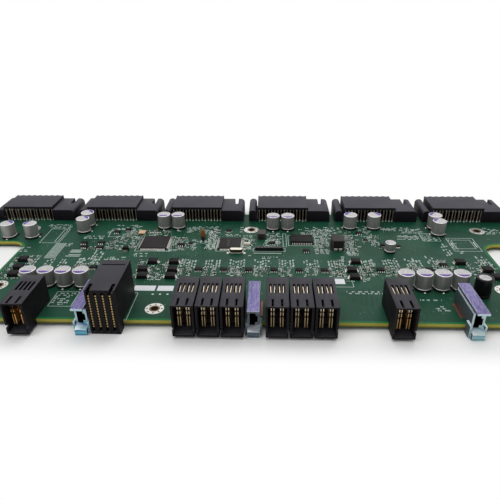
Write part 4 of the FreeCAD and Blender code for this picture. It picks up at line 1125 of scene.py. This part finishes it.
passive_spots = np.concatenate(
    [scatter(region, COLUMN_STEP, COLUMN_SHARE) for region in column_corners + COLUMN_BOX]
    + [scatter(region, BUSY_STEP, share * BUSY_SHARE) for *region, share in busy_regions])
_, apart = np.unique(np.round(passive_spots / NEAREST), axis=0, return_index=True)
passive_spots = lift(passive_spots[apart])
passive_turns = rng.integers(0, 2, len(passive_spots)) * np.pi / 2
dark = rng.random(len(passive_spots)) < DARK_SHARE
body = block(0.9, 0.72, 0.04, 0.55)
end_caps = repeat(block(0.34, 0.82, 0.0, 0.6, 0.05), [(-0.6, 0, 0), (0.6, 0, 0)])
tan_bodies = repeat(body, passive_spots[~dark], passive_turns[~dark])
dark_bodies = repeat(body, passive_spots[dark], passive_turns[dark])
piece("passive_bodies_tan", tan_bodies, "tan")
piece("passive_bodies_dark", dark_bodies, "epoxy")
piece("passive_ends", repeat(end_caps, passive_spots, passive_turns), "tin")

# %% [markdown]
# A few parts are larger than a chip resistor and smaller than a chip: a beige block capacitor beside
# the header, black coils and switches near the back, and rows of bare solder where leads come up
# through the board. Each block is a short stack of rectangles, drawn in towards the top.

# %% Loose small parts and solder rows
# Black parts: x, y, width, depth and height.
BLACK_PARTS = [(-17.6, 118.6, 4.4, 3.2, 1.5), (97.4, 95.2, 3.2, 2.8, 1.6), (-90.4, 85.0, 3.8, 3.6, 3.6),
               (-44.5, 96.5, 3.0, 2.4, 1.3), (-97.5, 119.5, 4.2, 3.2, 1.6), (86.5, 104.0, 3.0, 2.2, 1.2)]
BEIGE_SPOT, RED_SPOT, SMALL_CAN_TAB = (-2.0, 95.6, 0), (-74.6, 119.8, 0), (107.8, 91.2, 0)


def small_block(width, depth, height):
    """A moulded block with its upper edge drawn in."""
    return loft([box_ring(width, depth, 0.05), box_ring(width, depth, height * 0.75),
                 box_ring(width * 0.86, depth * 0.84, height)])


black_blocks = [repeat(small_block(w, d, h), (x, y, 0)) for x, y, w, d, h in BLACK_PARTS]
piece("black_blocks", merge(*black_blocks), "epoxy")
end_tabs = [repeat(block(w * 0.9, 0.7, 0.0, h * 0.45, 0.1), (x, y - d / 2 - 0.25, 0))
            for x, y, w, d, h in BLACK_PARTS]
end_tabs += [repeat(block(3.6, 0.9, 0.0, 0.9, 0.15), SMALL_CAN_TAB)]
beige_ends = np.array([(-1.75, 0, 0), (1.75, 0, 0)]) + BEIGE_SPOT
end_tabs += [repeat(block(0.7, 2.8, 0.0, 1.75, 0.08), beige_ends)]
piece("block_tabs", merge(*end_tabs), "tin")
piece("beige_block", repeat(small_block(3.0, 2.7, 1.8), BEIGE_SPOT), "cream")
piece("red_block", repeat(small_block(2.0, 1.3, 0.9), RED_SPOT), "copper")
row_spots = np.concatenate([np.linspace((-79.0, 115.4), (-71.0, 115.4), 7),
                            np.linspace((41.5, 114.0), (46.5, 114.0), 4),
                            np.linspace((66.0, 100.0), (66.0, 108.0), 5)])
piece("solder_rows", repeat(lump(0.55, 0.75), lift(row_spots)), "tin", smooth=True)

# %% [markdown]
# ## Printed marks
#
# The pale print on the board is outlines, ticks and part marks. It could be an image, but a picture
# would blur up close, so each stroke is a thin bar of ink. Clusters of short strokes read as print at
# this scale without spelling anything. Most rows run along the board, and some strings across it.

# %% Ink strokes and outlines
INK_LOW, INK_HIGH = -0.02, 0.03
LINE, STROKE = 0.30, 0.40
TICK_STEP, ROW_STEP, WORD, SHORT_WORD = 0.66, 2.0, 6, 3
TICK_SHARE, TICK_SHIFT, ROW_SHIFT, PRINT_MARGIN = 0.86, 0.12, 1.3, 0.8
TICK_LENGTHS, TICK_ODDS = [0.7, 1.05, 1.2], [0.25, 0.25, 0.5]


def strokes(spots, lengths, turns, width=STROKE):
    """Thin bars of ink: a unit bar stretched to each length, turned and moved to its spot."""
    return repeat(block(1.0, width, INK_LOW, INK_HIGH), lift(spots), turns, lengths)


def outline(left, near, right, far):
    """Four strokes round a rectangle."""
    middle_x, middle_y = (left + right) / 2, (near + far) / 2
    spots = [(middle_x, near), (middle_x, far), (left, middle_y), (right, middle_y)]
    lengths = [right - left, right - left, far - near, far - near]
    return strokes(spots, lengths, [0, 0, np.pi / 2, np.pi / 2], LINE)


def tick_rows(region, share, upright=False):
    """Rows of ticks in words: a share of the words is kept, each with a gap at its end.

    Rows run along X, or along Y when upright. Ticks stand across their row and differ in length.
    """
    left, near, right, far = region
    start, stop, first, last = (near, far, left, right) if upright else (left, right, near, far)
    rows = max(1, int((last - first) / ROW_STEP))
    words = max(1, int((stop - start) / (TICK_STEP * WORD)))
    kept = (rng.random((rows, words, 1)) < share) & (rng.random((rows, words, WORD)) < TICK_SHARE)
    kept &= np.arange(WORD) < rng.integers(SHORT_WORD, WORD, (rows, words, 1))
    row, word, tick = np.nonzero(kept)
    across = first + (row + 0.5) * ROW_STEP + rng.uniform(-TICK_SHIFT, TICK_SHIFT, len(row))
    way = start + (word * WORD + tick + 0.5) * TICK_STEP + rng.uniform(-ROW_SHIFT, ROW_SHIFT, rows)[row]
    lengths = rng.choice(TICK_LENGTHS, len(row), p=TICK_ODDS)
    spots = np.c_[across, way] if upright else np.c_[way, across]
    clear = free(spots, PRINT_MARGIN)
    return strokes(spots[clear], lengths[clear], 0.0 if upright else np.pi / 2)


print(f"ticks {STROKE} mm wide, outlines {LINE} mm")

# %% Print round the parts
STRING_SHARE, BUSY_PRINT, FIELD_PRINT = 0.75, 1.2, 1.7
BEHIND_COLUMN, BEHIND_SHARE = (-3.0, 4.0, 3.1, 16.0), 0.9
BESIDE_COLUMN, BESIDE_SHARE = (-2.6, -8.0, 2.7, 4.0), 0.8
# Strings of print that run along the depth: left, near, right, far.
string_fields = [
    (-159, 62, -148, 80), (-143, 61, -136, 73), (-133, 61, -126, 73), (-121, 61, -114, 73),
    (-113, 66, -104, 86), (139, 80, 145, 101), (111, 68, 117, 82), (123, 68, 129, 82), (158, 66, 166, 82),
]
# Fields of level print: left, near, right, far and how dense the print is there.
print_fields = [
    (-170, 80, -160, 91, 0.35), (-128, 104, -112, 110, 0.5), (-137, 91, -130, 97, 0.5),
    (-164, 122.5, -144, 131, 0.5), (-112, 112, -98, 131, 0.3), (-99, 108, -86, 130, 0.45),
    (-83, 76, -70, 85, 0.3), (-68, 84.5, -50, 87, 0.6), (-50, 86, -45, 108, 0.4), (-43, 86, -38, 106, 0.5),
    (-33, 87, -24, 124, 0.55), (-20, 110, -6, 114, 0.6), (-6, 87, 5, 108, 0.4), (0, 78, 12, 81, 0.5),
    (9, 74, 22, 78, 0.4), (11, 93, 25, 117, 0.5), (47.5, 82, 60, 125, 0.5), (70, 80, 79, 115, 0.6),
    (89, 96, 100, 117, 0.5), (112, 106, 130, 114, 0.5), (98, 121, 114, 127, 0.4), (117, 117, 133, 126, 0.4),
    (113, 122, 137, 128, 0.4), (130, 104, 142, 116, 0.7), (148, 89, 154, 108, 0.55), (151, 84, 158, 88, 0.5),
    (182, 116, 200, 128, 0.35), (97, 75, 105, 78, 0.5), (80, 93, 85, 96, 0.5), (65, 71, 70, 80, 0.4),
    (84, 66, 90, 74, 0.4), (60, 119, 72, 130, 0.35), (-50, 116, -36, 128, 0.35), (-110, 62, -84, 76, 0.25),
    (-118, 14, -106, 28, 0.45), (-66, 116, -41, 128, 0.3), (-38, 114, -23, 129, 0.45),
    (-9, 117, -5, 128, 0.4), (38, 114, 64, 129, 0.35), (75, 118, 96, 131, 0.35), (63, 29.5, 87, 33.6, 0.6),
    (105, 23, 124, 25.2, 0.7), (108, 12, 121, 18.5, 0.4),
]
part_outlines = [
    (147.5, 88, 167, 109), (150.5, 92, 164, 106), (-160, 97, -145, 121.5), (-149, 99, -146.6, 120),
    (129.5, 104, 142.5, 117), (-110.5, 108, -96, 122), (-84, 84.6, -58, 109.5), (-24.6, 85.5, -4.6, 106.5),
    (28.5, 94.8, 48.6, 112), (24.6, 93, 27.0, 115), (2.5, 85.6, 25.8, 90.2), (54, 38, 68, 49),
    (-87.6, -0.2, -67.8, 28.6), (-98, 8, -88, 24), (-119, 13, -105, 29),
]
marks = [tick_rows(region, BEHIND_SHARE, upright=True) for region in column_corners + BEHIND_COLUMN]
marks += [tick_rows(region, STRING_SHARE, upright=True) for region in string_fields]
marks += [tick_rows(region, BESIDE_SHARE) for region in column_corners + BESIDE_COLUMN]
marks += [tick_rows(region, share * BUSY_PRINT) for *region, share in busy_regions]
marks += [tick_rows(region, share * FIELD_PRINT) for *region, share in print_fields]
marks += [outline(*box) for box in part_outlines]
piece("printed_marks", merge(*marks), "ink")

# %% Filled bars, rings and bare pads
BAR_WIDTH = 0.7
# Bars: middle, length and turn in degrees.
BARS = [((165.6, 98.5), 9.0, 90), ((149.0, 98.5), 7.0, 90), ((-127.0, 85.5), 8.0, 0),
        ((-127.0, 83.8), 8.0, 0), ((-127.0, 82.2), 8.0, 0), ((-127.0, 76.2), 10.5, 0),
        ((-126.0, 78.2), 9.0, 0), ((13.0, 82.8), 20.0, 0), ((120.0, 111.0), 15.0, 0),
        ((106.0, 124.0), 12.0, 0)]
bar_spots, bar_lengths, bar_turns = zip(*BARS)
bars = strokes(bar_spots, bar_lengths, np.radians(bar_turns), BAR_WIDTH)
silk_ring = band(flat_ring(2.2, 2.7, INK_LOW, INK_HIGH), 28)
silk_rings = repeat(silk_ring, lift([(-35.5, 100.4), (16.9, 99.0), (16.9, 103.5), (-17.6, 118.6)]))
dot = lathe(flat_ring(0.3, 0.75, INK_LOW, INK_HIGH), 12)
dots = repeat(dot, lift([(-58.2, 27.3), (-53.7, 27.4), (-49.0, 27.5)]))
piece("printed_bars", merge(bars, silk_rings, dots), "ink")
pad_columns, pad_rows = np.arange(-146.2, -138, 1.05), np.arange(73.4, 96, 1.5)
pad_spots = lift(grid(pad_columns, pad_rows))
piece("spare_pads", repeat(block(0.52, 1.0, INK_LOW, 0.035), pad_spots), "ink")

# %% [markdown]
# ## Screw holes and bare copper
#
# The screw holes have wide tinned lands with a ring of small vias, and a plated barrel that shows
# brown inside. A strip of bare copper runs beside two of the guides. The board's solid has the holes,
# so only thin plating is added: closed bands turned about each hole's own axis.

# %% Lands, barrels, vias and strips
HOLES = np.array([(-175.5, 122.0), (0.0, 122.0), (175.5, 122.0),
                  (-160.7, 36.0), (160.7, 36.0), (-53.8, 11.7)])
HOLE_RADIUS, RIM_RADIUS, LAND_RADIUS = 2.25, 3.2, 5.7
BARREL_LIP, BARREL_GAP = 0.12, 0.02
VIA_RING, VIA_COUNT, VIA_RADIUS = 4.45, 8, 0.55
PLATE, STRIP_TOP, STRIP_LENGTH, STRIP_Y = 0.035, 0.06, 15.0, 13.2
hole_spots = lift(HOLES)
lands = repeat(band(flat_ring(RIM_RADIUS, LAND_RADIUS, 0.0, PLATE)), hole_spots)
piece("screw_lands", merge(lands, below(lands)), "tin")
lip_radius, wall_radius = HOLE_RADIUS - BARREL_LIP, HOLE_RADIUS - BARREL_GAP
barrel = band([(lip_radius, -BOARD_THICKNESS - PLATE), (RIM_RADIUS, -BOARD_THICKNESS - PLATE),
               (RIM_RADIUS, -BOARD_THICKNESS), (wall_radius, -BOARD_THICKNESS), (wall_radius, 0.0),
               (RIM_RADIUS, 0.0), (RIM_RADIUS, PLATE), (lip_radius, PLATE)])
piece("hole_barrels", repeat(barrel, hole_spots), "barrel", smooth=True)
via_spots = lift((HOLES[:, None, :] + VIA_RING * circle(VIA_COUNT)).reshape(-1, 2))
via_rim = band([(VIA_RADIUS, 0.03), (0.85, 0.03), (0.78, 0.1), (VIA_RADIUS, 0.1)], 14)
# Painted shade: a black disc in each via stands for its dark open hole.
via_shade_disc = lathe(flat_ring(0.2, VIA_RADIUS, 0.03, 0.06), 14)
piece("via_rims", repeat(via_rim, via_spots), "tin")
piece("via_hole_shades", repeat(via_shade_disc, via_spots), "base")
# Strips: place along the board and width.
STRIPS = [(guide_x[2] - 4.4, 1.6), (guide_x[1] + 4.2, 1.4)]
strips = [repeat(block(width, STRIP_LENGTH, INK_LOW, STRIP_TOP), (x, STRIP_Y, 0)) for x, width in STRIPS]
piece("copper_strips", merge(*strips), "copper")

# %% [markdown]
# ## Camera, floor and light
#
# The camera stands in front of the board, a little to the right of the middle, and looks down on it.
# Its place and its pitch, yaw and roll come from a fit, so they are written as they came out.

# %% Camera
PITCH, YAW, ROLL = np.radians((27.659, -2.475, 0.731))
CAMERA_PLACE = np.array([13.83, -226.45, 164.743])
FOCAL_PIXELS, FRAME_PIXELS, SENSOR_MM = 486.904, 500, 36.0
ahead = np.array([np.sin(YAW) * np.cos(PITCH), np.cos(YAW) * np.cos(PITCH), -np.sin(PITCH)])
level = np.cross(ahead, (0, 0, 1))
level /= np.linalg.norm(level)
down = np.cross(ahead, level)
right = level * np.cos(ROLL) + down * np.sin(ROLL)
down = down * np.cos(ROLL) - level * np.sin(ROLL)
camera = add("camera", bpy.data.cameras.new("camera"))
camera.data.sensor_width = SENSOR_MM
camera.data.lens = FOCAL_PIXELS / FRAME_PIXELS * SENSOR_MM
camera.data.clip_start = 0.01
pose = Matrix(np.stack([right, -down, -ahead], 1).tolist()).to_4x4()
pose.translation = ((CAMERA_PLACE + ORIGIN) * MM).tolist()
camera.matrix_world = pose
bpy.context.scene.camera = camera
print(f"camera with a {camera.data.lens:.1f} mm lens")

# %% [markdown]
# The floor is pale and the light comes from large soft areas, as in a light tent. The floor keeps the
# shadow near the board and fades to plain white further out, but only on rays that show the background
# itself, so no extra light falls on the board.

# %% Floor
FLOOR_REACH = 6.0
FADE_START, FADE_END = 0.001, 0.022


def seen_directly(finish):
    """1 on rays that show the background itself: from the camera, off a mirror or through glass."""
    ways = [finish.node("ShaderNodeLightPath", output=name)
            for name in ("Is Camera Ray", "Is Glossy Ray", "Is Transmission Ray")]
    return ways[0] | ways[1] | ways[2]


def pale_floor():
    """Matt white near the object, so that it keeps the shadow, and plain white further out."""
    f = Finish("pale_floor", roughness=0.9, specular=0.1, base_color=(0.93, 0.93, 0.93, 1.0))
    beyond = [(abs(f.along(axis)) - cad_box[1][axis]) | 0.0 for axis in (X, Y)]
    fade = f.step(f.length(*beyond), FADE_START, FADE_END) * seen_directly(f)
    white = f.node("ShaderNodeEmission", None, {"Color": (1, 1, 1, 1), "Strength": 1.0})
    own = Wire(f, f.shader.outputs[0])
    mixed = f.node("ShaderNodeMixShader", None, {0: fade, 1: own, 2: white})
    f.tree.links.new(mixed.socket, f.tree.nodes["Material Output"].inputs[0])
    return f.material


floor_mesh = bpy.data.meshes.new("floor")
floor_corners = box_ring(2 * FLOOR_REACH, 2 * FLOOR_REACH, 0.0)
floor_mesh.from_pydata(floor_corners.tolist(), [], [(0, 1, 2, 3)])
floor_mesh.materials.append(pale_floor())
floor = add("floor", floor_mesh)
print(f"floor {2 * FLOOR_REACH:.0f} m across")

# %% Lamps and world
AMBIENT = 0.36
# Lamps: name, place in metres, size in metres, watts.
LAMPS = [("top_light", (0.0, 0.15, 1.2), 1.2, 6.8),
         ("key_light", (-0.7, -0.5, 1.0), 0.8, 3.3),
         ("back_light", (0.2, 0.9, 0.8), 1.0, 2.7)]
for name, place, size, watts in LAMPS:
    lamp = add(name, bpy.data.lights.new(name, "AREA"))
    lamp.data.size = size
    lamp.data.energy = watts
    lamp.location = place
    lamp.rotation_mode = "QUATERNION"
    lamp.rotation_quaternion = (-Vector(place)).to_track_quat("-Z", "Y")
tent = Finish("light_tent", "worlds", "Background", color=(1, 1, 1, 1))
tent.paint("Strength", AMBIENT + (1 - AMBIENT) * seen_directly(tent))
bpy.context.scene.world = tent.material
bpy.context.scene.view_settings.view_transform = "Standard"
print(len(LAMPS), "lamps")

# %% [markdown]
# The box of the solids, cad_box, was measured before any dressing; the floor's fade starts at its edge.
